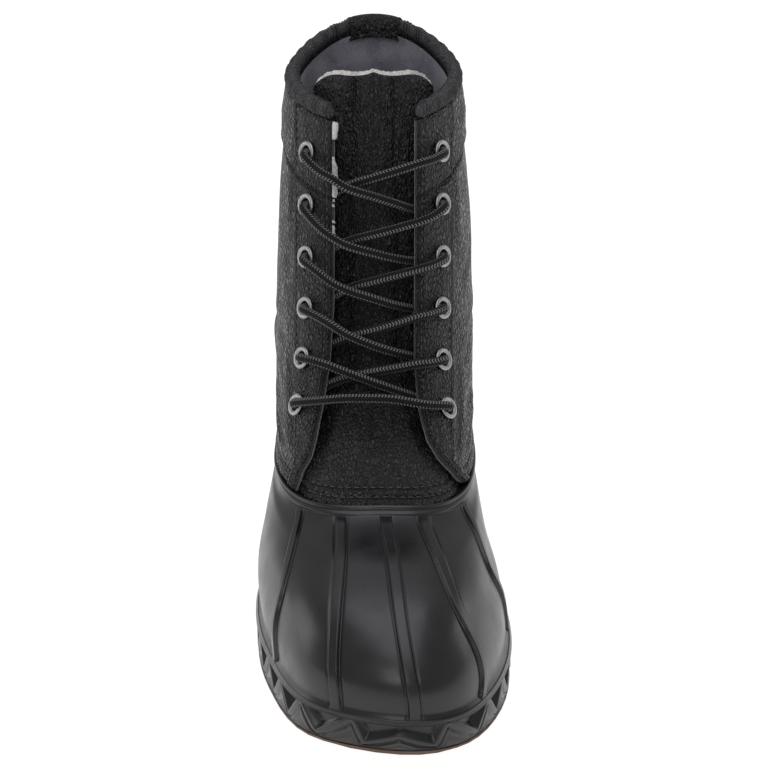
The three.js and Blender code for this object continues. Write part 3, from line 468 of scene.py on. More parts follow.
def shell_form(column, row, depth):
    kinds = np.array([kind for kind, _ in shell_rows])[row]
    share = np.array([share for _, share in shell_rows])[row]
    column = column % len(anchors)
    level = np.full(len(row), 1.0)
    bearing = shell_bearing(level + 2, column)
    for _ in range(3):
        foot = np.interp(bearing, whole_turn, band_foot)
        top = np.interp(bearing, whole_turn, flange_top)
        level = np.select(
            [kinds == "wall", kinds == "band", kinds == "tuck", kinds == "flange", kinds == "back"],
            [0.86 + (foot - 0.86) * share ** 0.92, foot + (RIM_RING - foot) * share, RIM_RING,
             RIM_RING + (top - RIM_RING) * share, 0.86 + (top - 0.86) * share])
        bearing = shell_bearing(np.clip(level, 1, RIM_RING), column)
    behind = flange_depth(bearing)
    above_ledge = (level - 1) * 17
    fillet = 1.3 * np.clip(1 - above_ledge / 2.2, 0, 1.5) ** 2
    lip = RIM_PROUD * ease(share, 0.02, 0.14) + 0.45 * ease(share, 0.66, 0.74) * (1 - ease(share, 0.92, 1.02))
    lip -= 0.3 * np.exp(-((share - 0.62) / 0.04) ** 2)
    spacing = np.linalg.norm(skin(level + 0.02, bearing) - skin(level - 0.02, bearing), axis=-1) / 0.04
    below_band = (np.interp(bearing, whole_turn, band_foot) - level) * spacing
    to_flange = ease(level, RIM_RING - 0.6, RIM_RING)
    inner = SHELL_WALL + (behind + FLANGE_WALL - SHELL_WALL) * to_flange
    out = np.select(
        [kinds == "wall", kinds == "band", kinds == "tuck", kinds == "flange", kinds == "back"],
        [fillet + rib_rise(level, column, below_band), lip,
         RIM_PROUD - 0.3 - (behind + RIM_PROUD - 0.3) * share, -behind, -inner])
    return skin_out(level, bearing, out)


cup = pattern(len(anchors), len(shell_rows))
cup_faces = len(cup.faces)
shell_rows.append(shell_rows[0])
lasted(cup, shell_form, merge=1e-6)
print("cup:", cup_faces, "faces")

# %% [markdown]
# The foxing is the thick foot of the shell. Its side carries a raised zigzag: plain faces below
# the line, a groove just under it, sunken pockets above it, and in front a wide W-shaped bumper.
# The plain faces are matt, by a second material on their rows, whose lighter, brownish colour is
# a painted reflection of the pale floor and the tan sole. The zigzag is a line of corners, each an
# arc length from the toe tip and a share of the foxing's height, and the rows of the grid follow
# that line, so no edge is stepped.

# %% The foxing's zigzag
BUMPER = [(0, 0.5), (15, 0.16), (20, 0.9), (29, 0.52), (38, 0.14)]
ZIGZAG_PITCH, CUP_WALL = 22, 5.6
FOXING_COLUMNS = 900
POCKET, BORDER = 3.0, 1.3
GROOVE_AT, GROOVE_DEEP, GROOVE_REACH = 1.5, 0.75, 2.9    # under the ridge of the zigzag
FOXING_TALL = 21


def zigzag(side):
    """Bearings and ridge heights along one side of the sole, from the toe tip to the heel."""
    turns = np.arange(0, 180.5, 0.5)
    edge = sole_edge(side * turns, 0 * turns)
    arc = np.append(0, np.cumsum(np.linalg.norm(np.diff(edge, axis=0), axis=1)))
    start = BUMPER[-1][0]
    teeth = round((arc[-1] - start) / ZIGZAG_PITCH)
    half = (arc[-1] - start) / teeth / 2
    corners = BUMPER + [(start + i * half, 0.9 if i % 2 else 0.14) for i in range(1, 2 * teeth + 1)]
    return turns, arc, np.array(corners)


arcs = {side: zigzag(side) for side in (-1, 1)}
reach = {side: arcs[side][1][-1] for side in (-1, 1)}
girth = reach[-1] + reach[1]
signed_arc = np.linspace(-reach[-1], reach[1], FOXING_COLUMNS + 1)
foxing_bearing = np.where(
    signed_arc < 0, -np.interp(-signed_arc, arcs[-1][1], arcs[-1][0]),
    np.interp(signed_arc, arcs[1][1], arcs[1][0]))
ridge = np.where(
    signed_arc < 0, np.interp(-signed_arc, arcs[-1][2][:, 0], arcs[-1][2][:, 1]),
    np.interp(signed_arc, arcs[1][2][:, 0], arcs[1][2][:, 1]))
ridge = np.convolve(np.pad(ridge, 2, mode="wrap"), [0.1, 0.2, 0.4, 0.2, 0.1], mode="valid")
print("girth of the sole:", round(girth), "mm")

# %% The foxing's grid
foxing_rows = [("under", 0), ("under", 1), ("low", 0), ("low", 0.06), ("low", 0.4), ("low", 0.8)]
foxing_rows += [("groove", under) for under in (2.5, 2.1, 1.7, 1.3, 0.9, 0.5)]
foxing_rows += [("ridge", share) for share in (0, 0.35, 0.7, 1)]
foxing_rows += [("pocket", share) for share in (0.12, 0.35, 0.65, 0.9)]
foxing_rows += [("border", share) for share in (0, 0.2, 0.6, 0.85, 1)]
foxing_rows += [("ledge", share) for share in (0.08, 0.5, 1)] + [("core", 1)]


def foxing_form(column, row, depth):
    kinds = np.array([kind for kind, _ in foxing_rows])[row]
    share = np.array([share for _, share in foxing_rows])[row]
    bearing = foxing_bearing[column]
    bottom = 4.0 + toe_rise(sole_edge(bearing, 0 * bearing)[:, 1])
    top = skin(1, bearing)[:, 2]
    tall = top - bottom
    slope = np.gradient(ridge * FOXING_TALL, girth / FOXING_COLUMNS)[column]
    wide = 0.9 * np.sqrt(1 + np.minimum(slope ** 2, 6))
    line = bottom + tall * ridge[column]
    low_end = np.maximum(bottom + 0.6, line - wide)
    high_end = np.minimum(line + wide, top - BORDER - 0.4)
    roof = top - BORDER
    sunk = POCKET * ease(roof - high_end, 0, 4)
    groove_foot = np.maximum(low_end - GROOVE_REACH * np.minimum(wide, 1.5), bottom + 0.35)
    height = np.select(
        [kinds == "under", kinds == "low", kinds == "groove", kinds == "ridge", kinds == "pocket",
         kinds == "border"],
        [bottom, bottom + (groove_foot - bottom) * share,
         low_end + (groove_foot - low_end) * share / GROOVE_REACH, low_end + (high_end - low_end) * share,
         high_end + 0.25 + (roof - 0.25 - high_end) * share, roof + (top - roof) * share], top)
    height = np.where(kinds == "core", bottom + 2, height)
    crown = np.sin(np.pi * np.clip(share, 0, 1))
    inset = np.select(
        [kinds == "under", kinds == "low", kinds == "groove", kinds == "ridge", kinds == "pocket",
         kinds == "border", kinds == "ledge"],
        [CUP_WALL - (CUP_WALL - 0.6) * share,
         0.55 * (1 - ease(share, 0, 0.06)) + 0.45 * crown * ease(share, 0.06, 0.4),
         0.1 + GROOVE_DEEP * np.exp(-((share - GROOVE_AT) / 0.5) ** 2), 0.1 - 0.5 * crown, sunk,
         sunk * (1 - ease(share, 0, 0.2)) + 0.5 * ease(share, 0.8, 1), 0.5 + 0.3 + 4.2 * share],
        CUP_WALL)
    edge = sole_edge(bearing, inset)
    return np.stack([edge[:, 0], edge[:, 1], height], axis=-1)


band = pattern(FOXING_COLUMNS, len(foxing_rows))
# The low rows get the matt rubber, its brownish colour a painted reflection of the floor and sole.
matt_low_rows_painted_reflection = [number for number, (kind, _) in enumerate(foxing_rows) if kind == "low"]
for face in band.faces:
    if min(corner.co.y for corner in face.verts) in matt_low_rows_painted_reflection:
        face.material_index = 1
foxing_rows.append(foxing_rows[0])
lasted(band, foxing_form, merge=1e-6)
band_data = bpy.data.meshes.new("foxing")
band.to_mesh(band_data)
band.free()
cup.from_mesh(band_data)
bpy.data.meshes.remove(band_data)
piece(cup, "moulded_shell", [black_rubber, matt_low_rubber_painted_reflection], "black_shell", "rubber_shell")

# %% [markdown]
# ## Leather, lining, nickel and cord
# Full-grain leather is milled until it pebbles. Its grain is a field of small domes with fine
# creases between them, a little taller than wide on a boot's shaft, where it is pulled upwards.
# The pile of the lining and the fleece scatter light sideways, which the sheen of the shader gives.

# %% Pebbled leather
def pebbled(name, light, dark, roughness, pebble, strength):
    """Milled full-grain leather: domes of one pebble in millimetres, creases and a worn sheen."""
    made, shader = finish_of(name, IOR=1.45, Specular_IOR_Level=0.5)
    spot = add(made, "TexCoord").outputs["Object"]
    wobble = add(made, "TexNoise", {"Vector": spot, "Scale": PER_MM / 6, "Detail": 2.0})
    bent = add(made, "VectorMath", {0: wobble.outputs["Color"], 1: (0.003, 0.003, 0.003)},
               operation="MULTIPLY")
    warped = add(made, "VectorMath", {0: spot, 1: bent.outputs["Vector"]})
    pulled = add(made, "Mapping", {"Vector": warped.outputs["Vector"], "Scale": (1.0, 0.5, 0.42)})
    domes = add(made, "TexVoronoi", {"Vector": pulled.outputs["Vector"], "Scale": PER_MM / pebble,
                "Randomness": 1.0}, feature="DISTANCE_TO_EDGE")
    fine = add(made, "TexNoise", {"Vector": pulled.outputs["Vector"], "Scale": PER_MM / 0.8,
               "Detail": 3.0})
    wide = add(made, "TexNoise", {"Vector": pulled.outputs["Vector"], "Scale": PER_MM / 5, "Detail": 3.0})
    grain = add(made, "MapRange", {"Value": domes.outputs["Distance"], "From Min": 0.02,
                "From Max": 0.32}, interpolation_type="SMOOTHSTEP")
    mixed = add(made, "Math", {0: fine.outputs["Fac"], 1: 0.6, 2: grain.outputs["Result"]},
                operation="MULTIPLY_ADD")
    rolling = add(made, "Math", {0: wide.outputs["Fac"], 1: 1.6, 2: mixed.outputs["Value"]},
                  operation="MULTIPLY_ADD")
    bump = add(made, "Bump", {"Height": rolling.outputs["Value"], "Strength": strength,
               "Distance": 0.0012})
    tint = add(made, "Math", {0: wide.outputs["Fac"], 1: 0.8, 2: grain.outputs["Result"]},
               operation="MULTIPLY_ADD")
    join(made, shades(made, tint.outputs["Value"], (0.3, dark), (1.0, light)),
         shader.inputs["Base Color"])
    rough = add(made, "MapRange", {"Value": grain.outputs["Result"], "To Min": roughness + 0.25,
                "To Max": roughness})
    join(made, rough.outputs["Result"], shader.inputs["Roughness"])
    join(made, bump.outputs["Normal"], shader.inputs["Normal"])
    return made


leather = pebbled("pebbled_full_grain_leather", "#1b1b1c", "#010101", 0.27, 1.3, 1.0)
binding_leather = pebbled("thin_garment_leather", "#3a3a3c", "#1a1a1c", 0.3, 0.9, 0.25)


# %% Felt, fleece, nickel, thread and tan rubber
def piled(name, light, dark, pile, strength):
    """Short pile: a felted or brushed cloth with clumps of one pile width in millimetres."""
    made, shader = finish_of(name, Roughness=0.95, IOR=1.45, Sheen_Weight=0.35, Sheen_Roughness=0.5)
    spot = add(made, "TexCoord").outputs["Object"]
    hairs = add(made, "TexNoise", {"Vector": spot, "Scale": PER_MM / pile, "Detail": 4.0,
                "Roughness": 0.7})
    clumps = add(made, "TexNoise", {"Vector": spot, "Scale": PER_MM / 12, "Detail": 3.0})
    both = add(made, "Math", {0: clumps.outputs["Fac"], 1: 0.8, 2: hairs.outputs["Fac"]},
               operation="MULTIPLY_ADD")
    join(made, shades(made, both.outputs["Value"], (0.65, dark), (1.1, light)),
         shader.inputs["Base Color"])
    bump = add(made, "Bump", {"Height": both.outputs["Value"], "Strength": strength,
               "Distance": 0.0006})
    join(made, bump.outputs["Normal"], shader.inputs["Normal"])
    return made


felt = piled("slate_polyester_felt", "#7c7b84", "#474854", 0.5, 0.6)
fleece = piled("off_white_fleece", "#d2cfcb", "#85827f", 0.9, 1.0)

# The cut edge of the leather shows its loose grey-brown fibres: matt, with no grain.
cut_leather, shader = finish_of("cut_leather_edge", Roughness=0.85)
spot = add(cut_leather, "TexCoord").outputs["Object"]
fibre = add(cut_leather, "TexNoise", {"Vector": spot, "Scale": PER_MM / 0.5, "Detail": 3.0})
join(cut_leather, shades(cut_leather, fibre.outputs["Fac"], (0.35, "#161616"), (0.75, "#484746")),
     shader.inputs["Base Color"])

# Nickel plate over stamped brass, dark and lightly scuffed: grey reflections with soft edges.
nickel, shader = finish_of("dark_nickel_plate", Metallic=1.0)
spot = add(nickel, "TexCoord").outputs["Object"]
scuff = add(nickel, "TexNoise", {"Vector": spot, "Scale": PER_MM / 0.8, "Detail": 4.0})
join(nickel, shades(nickel, scuff.outputs["Fac"], (0.3, "#85868a"), (0.7, "#abacae")),
     shader.inputs["Base Color"])
wear = add(nickel, "MapRange", {"Value": scuff.outputs["Fac"], "To Min": 0.34, "To Max": 0.5})
join(nickel, wear.outputs["Result"], shader.inputs["Roughness"])

# Waxed polyester thread, twisted: matt black with a fine twist.
thread, shader = finish_of("waxed_polyester_thread", Roughness=0.55)
spot = add(thread, "TexCoord").outputs["Object"]
twist = add(thread, "TexNoise", {"Vector": spot, "Scale": PER_MM / 0.4})
join(thread, shades(thread, twist.outputs["Fac"], (0.3, "#202021"), (0.7, "#454547")),
     shader.inputs["Base Color"])

# Gum rubber, moulded matt: warm tan with a floury bloom and fine grit.
tan_rubber, shader = finish_of("moulded_gum_rubber", Roughness=0.7, IOR=1.52)
spot = add(tan_rubber, "TexCoord").outputs["Object"]
bloom = add(tan_rubber, "TexNoise", {"Vector": spot, "Scale": PER_MM / 9, "Detail": 5.0})
join(tan_rubber, shades(tan_rubber, bloom.outputs["Fac"], (0.3, "#4f3b2f"), (0.7, "#6a5242")),
     shader.inputs["Base Color"])
grit = add(tan_rubber, "TexNoise", {"Vector": spot, "Scale": PER_MM / 0.6, "Detail": 2.0})
bump = add(tan_rubber, "Bump", {"Height": grit.outputs["Fac"], "Strength": 0.4, "Distance": 0.0003})
join(tan_rubber, bump.outputs["Normal"], shader.inputs["Normal"])
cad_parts["outsole"].data.materials[0] = tan_rubber
print("materials:", len(bpy.data.materials))

# %% [markdown]
# ## The quarters
# The shaft is one wall of leather round the heel, lined with felt: plain at the sides, doubled
# along the lacing as an eyestay, and padded as a cuff at the top. Its edges, seams and creases
# are heights over the skin, so one function of the place gives them all.

# %% Lines on the quarters
OVERLAY, CUFF_HEIGHT, CUFF_PAD, ROLL_WIDTH, ROLL_HEIGHT, ROLL_SUNK = 1.1, 32, 2.4, 5.8, 6.4, 0.9
EYESTAY_GAP, NARROWEST_STAY = 69, 5
throat_levels = np.array([5.0, 5.3, 5.5, 5.7, 5.9, 6.1, 6.6, 7.2, 12.0])
throat_shares = {-1: np.array([0, 0.21, 0.43, 0.55, 0.64, 0.74, 0.91, 1, 1]),
                 1: np.array([0.03, 0.3, 0.57, 0.79, 0.89, 0.96, 1, 0.97, 0.94])}
line_levels = np.arange(4.9, 12.01, 0.05)


def throat_half(level, side):
    share = np.interp(level, throat_levels, throat_shares[side])
    return (CORNER_GAP + (THROAT_GAP - CORNER_GAP) * share) / 2


def bearing_across(level, side, middle, half):
    """Bearing on one side where the skin is a distance sideways from a middle line."""
    low, high = np.zeros(len(level)), np.full(len(level), 88.0)
    for _ in range(24):
        bearing = (low + high) / 2
        short = (skin(level, bearing * side)[:, 0] - middle) * side < half
        low, high = np.where(short, bearing, low), np.where(short, high, bearing)
    return low * side


edge_line, seam_line = {}, {}
for side in (-1, 1):
    edge_line[side] = bearing_across(line_levels, side, skin(line_levels, 0)[:, 0],
                                     throat_half(line_levels, side))
    wide = np.abs(bearing_across(line_levels, side, 0, EYESTAY_GAP / 2))
    seam_line[side] = side * np.maximum(wide, np.abs(edge_line[side]) + NARROWEST_STAY)
front_drop = 1 + 0.3 * np.maximum(0, np.cos(np.radians(whole_turn)))
bottom_line = level_along(RIM_RING, whole_turn, LAYER_GAP)
cuff_line = level_along(COLLAR_RING, whole_turn, -CUFF_HEIGHT * front_drop)
top_line = level_along(COLLAR_RING, whole_turn, -ROLL_HEIGHT - ROLL_SUNK)


def edge_at(level, side):
    return np.where(side < 0, np.interp(level, line_levels, edge_line[-1]),
                    np.interp(level, line_levels, edge_line[1]))


def seam_at(level, side):
    return np.where(side < 0, np.interp(level, line_levels, seam_line[-1]),
                    np.interp(level, line_levels, seam_line[1]))


print("throat edge and stay seam at the shaft:", edge_at(8, 1).round(1), seam_at(8, 1).round(1))

# %% Eyelet places
EYELET_ROWS, EYELET_PITCH, EYELET_INSET, LOWEST_EYELET = 6, 22.4, 14.5, 43.4
eyelets = {}
for side in (-1, 1):
    for number in range(EYELET_ROWS):
        start = float(edge_at(7, side))
        level = level_along(np.array(5.0), start, LOWEST_EYELET + number * EYELET_PITCH)
        edge = float(edge_at(level, side))
        eyelets[side, number] = (float(level), edge, float(bearing_at_arc(level, edge, side * EYELET_INSET)))
print("lowest eyelets:", eyelets[-1, 0], eyelets[1, 0])

# %% Columns and rows of the quarters
stay_shares = np.concatenate([[0, 0.012, 0.03, 0.06, 0.1], np.linspace(0.15, 0.88, 15), [0.93, 0.97, 1]])
side_shares = np.concatenate([[0.0018, 0.004, 0.007, 0.011], np.linspace(0.018, 1, 112)])
half_columns = [("stay", s) for s in stay_shares] + [("side", s) for s in side_shares]
quarter_columns = ([(-1, *c) for c in half_columns] + [(1, *c) for c in half_columns[-2::-1]])
shaft_shares = np.concatenate([[0, 0.004, 0.01, 0.018], np.linspace(0.026, 1, 104)])
cuff_shares = np.concatenate([[0.02, 0.04, 0.07], np.linspace(0.11, 0.96, 22), [0.985, 1]])
quarter_rows = [("shaft", s) for s in shaft_shares] + [("cuff", s) for s in cuff_shares]
column_side = np.array([c[0] for c in quarter_columns])
column_stay = np.array([c[1] == "stay" for c in quarter_columns])
column_share = np.array([c[2] for c in quarter_columns])
row_cuff = np.array([r[0] == "cuff" for r in quarter_rows])
row_share = np.array([r[1] for r in quarter_rows])


def quarter_place(column, row):
    """Level and bearing of a corner of the quarters' grid."""
    side, stay, share = column_side[column], column_stay[column], column_share[column]
    level = np.full(len(column), 7.0)
    for _ in range(4):
        edge, seam = edge_at(level, side), seam_at(level, side)
        bearing = np.where(stay, edge + (seam - edge) * share, seam + (180 * side - seam) * share)
        bottom, cuff, top = (np.interp(bearing, whole_turn, line)
                             for line in (bottom_line, cuff_line, top_line))
        level = np.where(row_cuff[row], cuff + (top - cuff) * row_share[row],
                         bottom + (cuff - bottom) * row_share[row])
    return level, bearing


# %% [markdown]
# Leather that has been worn or packed is never even. The soft hollows and the ridge beside each
# are listed one by one: where they run, by bearing and height over the rim, how wide and how deep.

# %% Creases, listed one by one
# bearing and height of both ends, width and depth, all in degrees and millimetres
CREASES = [
    (-62, 22, -92, 40, 3.0, 0.8), (-70, 40, -110, 50, 3.5, 0.9), (-66, 64, -100, 58, 3.0, 0.6),
    (-120, 36, -165, 44, 4.0, 0.8), (-58, 88, -75, 76, 2.6, 0.5), (-95, 84, -140, 90, 4.0, 0.5),
    (60, 18, 88, 34, 3.0, 0.9), (64, 36, 104, 46, 3.2, 0.9), (60, 54, 96, 66, 3.0, 0.7),
    (118, 40, 160, 46, 4.0, 0.8), (62, 82, 84, 92, 2.8, 0.5), (100, 88, 145, 82, 4.0, 0.5),
    (-50, 20, -53, 60, 2.4, 0.5), (50, 18, 54, 58, 2.4, 0.5), (-56, 96, -57, 120, 2.4, 0.4),
    (56, 98, 57, 124, 2.4, 0.4), (165, 70, 195, 66, 4.0, 0.6), (-170, 26, -130, 20, 4.0, 0.6),
    (128, 22, 172, 28, 4.0, 0.6), (-38, 30, -30, 44, 2.0, 0.35), (36, 26, 29, 42, 2.0, 0.35),
]


def crease_depth(bearing, height):
    """Soft troughs with a ridge on their upper side."""
    total = np.zeros(len(bearing))
    for b1, h1, b2, h2, width, depth in CREASES:
        across = np.array([(b2 - b1) * 0.85, h2 - h1])
        length = np.linalg.norm(across)
        for turned in (bearing, bearing + 360, bearing - 360):
            offset = np.stack([(turned - b1) * 0.85, height - h1], axis=-1)
            along = offset @ across / length ** 2
            away = (offset[:, 0] * across[1] - offset[:, 1] * across[0]) / length
            fade = np.exp(-(np.maximum(0, np.abs(along - 0.5) - 0.3) / 0.22) ** 2)
            away = away + 0.5 * np.sin(along * 9 + b1)
            total += fade * depth * (0.6 * np.exp(-((np.abs(away) - 1.9 * width) / width) ** 2)
                                     - np.exp(-(away / width) ** 2))
    return total


def groove(distance, width, depth):
    return -depth * np.exp(-(distance / width) ** 2)


# %% Shape of the quarters
QUARTER_SEAMS = (3.4, 8.2)    # heights of the two rows of stitches over the lower edge


def quarter_out(column, row, level, bearing):
    """Height of the leather over the skin."""
    side, stay = column_side[column], column_stay[column]
    scale = np.linalg.norm(skin(level, bearing + 0.5) - skin(level, bearing - 0.5), axis=-1)
    rise = np.linalg.norm(skin(level + 0.02, bearing) - skin(level - 0.02, bearing), axis=-1) / 0.04
    from_edge = np.abs(bearing - edge_at(level, side)) * scale
    from_seam = np.abs(bearing - seam_at(level, side)) * scale
    bottom, cuff, top = (np.interp(bearing, whole_turn, line)
                         for line in (bottom_line, cuff_line, top_line))
    from_bottom, from_cuff, from_top = (level - bottom) * rise, (level - cuff) * rise, (top - level) * rise
    pad = ease(np.abs(bearing), 60, 92)
    puff = np.interp(row_share[row], [0, 0.07, 0.45, 1], [0.15, 0.6, 1, 0.5]) * row_cuff[row]
    out = np.where(stay, OVERLAY, OVERLAY * (1 - ease(from_seam, 0, 0.7)))
    out = np.maximum(out, 0) + CUFF_PAD * puff * pad
    out -= 0.9 * (1 - ease(from_edge, 0, 1.0)) + 0.8 * (1 - ease(from_bottom, 0, 1.1))
    out += groove(from_cuff, 0.8, 1.0) + 0.3 * np.exp(-((np.abs(from_cuff) - 1.8) / 0.9) ** 2)
    out += groove(from_seam, 0.5, 0.25) + groove(from_top, 1.0, 0.5)
    out += 0.6 * (1 - ease(from_bottom, 1.5, 12)) * (1 - ease(18 - from_edge, 0, 8))
    for line in QUARTER_SEAMS:
        out += groove(from_bottom - line, 0.7, 0.6) * ~stay
    out += 0.35 * np.exp(-((from_bottom - 5.8) / 1.6) ** 2) * ~stay
    inner_line = np.where(stay, np.minimum(np.abs(from_edge - 2.2), np.abs(from_seam - 2.0)), 9)
    out += groove(inner_line, 0.55, 0.4)
    height = (level - RIM_RING) * rise
    soft = ease(from_edge, 2, 9) * ease(from_bottom, 6, 14) * (1 - 0.6 * pad * row_cuff[row])
    waves = 0.28 * np.sin(bearing * 0.21 + height * 0.05) * np.sin(height * 0.13 + bearing * 0.06)
    out += soft * (crease_depth(bearing, height) + waves)
    return out


def tufts(level):
    """How far the fleece stands out of the lateral edge, from 0 to 1, in uneven tufts."""
    clumps = 0.55 + 0.6 * np.sin(level * 7.3 + 0.8) + 0.25 * np.sin(level * 31) * np.sin(level * 67 + 1)
    return np.clip(clumps, 0, 1) * ease(level, 7.9, 8.2) * (1 - ease(level, 9.75, 9.9))


def quarter_form(column, row, depth):
    level, bearing = quarter_place(column, row)
    pad = np.clip((np.abs(bearing) - 62) / 26, 0, 1) * np.interp(
        row_share[row], [0, 0.07, 0.45, 1], [0, 0.3, 1, 1]) * row_cuff[row]
    out = np.where(depth > -0.5, quarter_out(column, row, level, bearing),
                   -QUARTER_WALL - CUFF_PAD * pad)
    side = column_side[column]
    fringe = ((column == 0) | (column == len(quarter_columns) - 1)) & (depth < -0.5)
    tuft = tufts(level)
    fluff = np.where(side < 0, 2.4 * tuft, 0.25 + 0.1 * tuft)
    scale = np.linalg.norm(skin(level, bearing + 0.5) - skin(level, bearing - 0.5), axis=-1)
    bearing = bearing - np.where(fringe, side * fluff / scale, 0)
    out = np.where(fringe, np.where(side < 0, -1.2, -1.0), out)
    return skin_out(level, bearing, out)


quarters = pattern(len(quarter_columns) - 1, len(quarter_rows) - 1)
flat = np.array([corner.co for corner in quarters.verts]).round().astype(int)
places = skin(*quarter_place(flat[:, 0], flat[:, 1]))
PUNCH_RADIUS = 3.3
punched = np.zeros(len(flat), bool)
for level, edge, bearing in eyelets.values():
    punched |= np.linalg.norm(places - skin(level, bearing), axis=1) < PUNCH_RADIUS
quarters.verts.ensure_lookup_table()
bmesh.ops.delete(quarters, geom=[quarters.verts[i] for i in np.flatnonzero(punched)], context="VERTS")
thickened(quarters)
all_rows = np.arange(len(quarter_rows))
tufted = tufts(quarter_place(0 * all_rows, all_rows)[0]) > 0.2
for face in quarters.faces:
    columns = [corner.co.x for corner in face.verts]
    middle_row = sum(corner.co.y for corner in face.verts) / len(face.verts)
    if max(corner.co.z for corner in face.verts) < -0.5:
        face.material_index = 1
    elif max(columns) < 0.5 and tufted[int(middle_row)]:
        face.material_index = 2
    elif max(columns) < 0.5 or min(columns) > len(quarter_columns) - 1.5:
        face.material_index = 3
lasted(quarters, quarter_form)
piece(quarters, "quarters", [leather, felt, fleece, cut_leather], "black_leather", "upper")

# %% [markdown]
# ## Tongue and vamp
# The vamp closes the front over the rim and runs up behind the lace as a padded tongue, faced
# with leather and lined with fleece that shows along its top edge. Its sides fold back under the
# quarters.

# %% Shape of the tongue
TONGUE_LEVELS = np.array([5.02, 5.3, 5.55, 5.72, 5.88, 6.2, 6.7, 7.3, 8.2, 9.1, 9.7, 10.1, 10.5])
TONGUE_HALF = np.array([1.6, 1.42, 1.45, 1.45, 1.5, 1.55, 1.45, 1.45, 1.5, 1.65, 2.1, 2.45, 2.35])
TONGUE_DEPTH = np.array([0, 0, 0.1, 0.65, 1, 1, 1, 1, 1, 1.15, 1.6, 1.95, 2.2])
TONGUE_EDGE = np.array([0, 0, 0.1, 0.65, 1, 1, 1, 1, 1, 0.9, 0.6, 0.52, 0.52])
LACE_ROOM = LACE + 2 * LAYER_GAP
# Seam heights over the vamp's foot, its level, and the millimetres from one level to the next.
VAMP_ROWS, VAMP_FOOT, VAMP_SPACING = (4.2, 8.6), 5.02, 39
tongue_columns, tongue_rows = 96, 230
tongue_level = np.concatenate([np.linspace(5.02, 5.2, 13)[:-1], np.linspace(5.2, 10.5, tongue_rows - 11)])


def smooth_rows(values):
    """A column of the tongue's table without its corners."""
    fine = np.interp(tongue_level, TONGUE_LEVELS, values)
    kernel = np.hanning(15) / np.hanning(15).sum()
    return np.convolve(np.pad(fine, 7, mode="edge"), kernel, mode="valid")


tongue_half, tongue_depth, tongue_edge = (smooth_rows(v) for v in (TONGUE_HALF, TONGUE_DEPTH, TONGUE_EDGE))


VAMP_LEVELS = np.array([5.02, 5.5, 5.72, 5.88, 6.0, 6.2, 6.5])
VAMP_OUT = np.array([-0.9, -1.2, -2.0, -3.4, -4.6, -6.2, -7.1])


def tongue_form(column, row, depth):
    share = 2 * column / tongue_columns - 1
    free_top = ease(tongue_level[row], 9.3, 10.5)
    level = tongue_level[row] + free_top * (
        0.08 * (1 - share ** 2) + 0.15 * np.exp(-(share / 0.34) ** 2)
        + 0.04 * np.exp(-(share / 0.08) ** 2) - 0.45 * np.abs(share) ** 5)
    half = tongue_half[row] * throat_half(tongue_level[row], -1)
    arc = half * share
    turn = bearing_at_arc(level, np.zeros(len(row)), arc)
    below = UNDER_QUARTER + LACE_ROOM * (
        tongue_depth[row] + (tongue_edge[row] - tongue_depth[row]) * share ** 2)
    tall = (tongue_level[row] - 5.02) * 27
    free = ease(tongue_level[row], 5.9, 6.5)
    fold = 1.3 * np.exp(-((np.abs(arc) - 14.5) / 2.2) ** 2)
    crown = 1.2 * np.exp(-(arc / 10) ** 4)
    ripple = 0.2 * np.sin(arc * 1.3 + 0.9 * np.sin(tall * 0.13)) * np.exp(-(arc / 12) ** 2)
    ripple += 0.2 * np.sin(tall * 0.22 + 2 * np.sin(arc * 0.25))
    rim = 1.6 * (1 - ease(tongue_level[-1] - tongue_level[row], 0, 0.13))
    side_rim = 1.2 * (1 - ease((1 - np.abs(share)) * half, 0, 1.6))
    toward_edge = np.abs(turn) / np.abs(edge_at(level, np.sign(share + 1e-9)))
    centre = 1 - ease(toward_edge, 0.72, 0.97)
    raised = np.interp(level, VAMP_LEVELS, VAMP_OUT) + below
    lift = np.where(level < 6.5, np.maximum(0, raised) * centre, 0)
    front = lift + free * (crown - fold) + ripple * ease(level, 5.4, 5.9) - rim - side_rim
    edge_height = (level - VAMP_FOOT) * VAMP_SPACING
    front -= 0.45 * (1 - ease(edge_height, 0, 1.2))
    for line in VAMP_ROWS:
        front += groove(edge_height - line, 0.7, 0.6)
    front += 0.35 * np.exp(-((edge_height - 6.4) / 1.4) ** 2)
    wall = VAMP_WALL + (TONGUE_WALL - VAMP_WALL) * np.minimum(1, tongue_depth[row]) - 0.8 * rim
    tuft = 0.25 * np.sin(share * 41) * np.sin(share * 97 + 2) * (tongue_level[-1] - tongue_level[row] < 0.06)
    out = np.where(depth > -0.5, -below + front + tuft, -below - wall + 0.6 * side_rim)
    return skin_out(level + tuft * 0.05, turn, out)


tongue_mesh = thickened(pattern(tongue_columns, tongue_rows))
for face in tongue_mesh.faces:
    lowest = min(corner.co.z for corner in face.verts)
    highest_row = max(corner.co.y for corner in face.verts)
    face.material_index = int(lowest < -0.5 or highest_row > tongue_rows - 2.5)
lasted(tongue_mesh, tongue_form)
tongue = piece(tongue_mesh, "tongue_and_vamp", [leather, fleece], "black_leather", "tongue")

# %% [markdown]
# ## Collar roll and heel stay
# The top edge is bound with thin leather turned over a cord of foam, gathered by its seam into
# fine pleats across the roll. A strip up the heel folds over it to the inside.

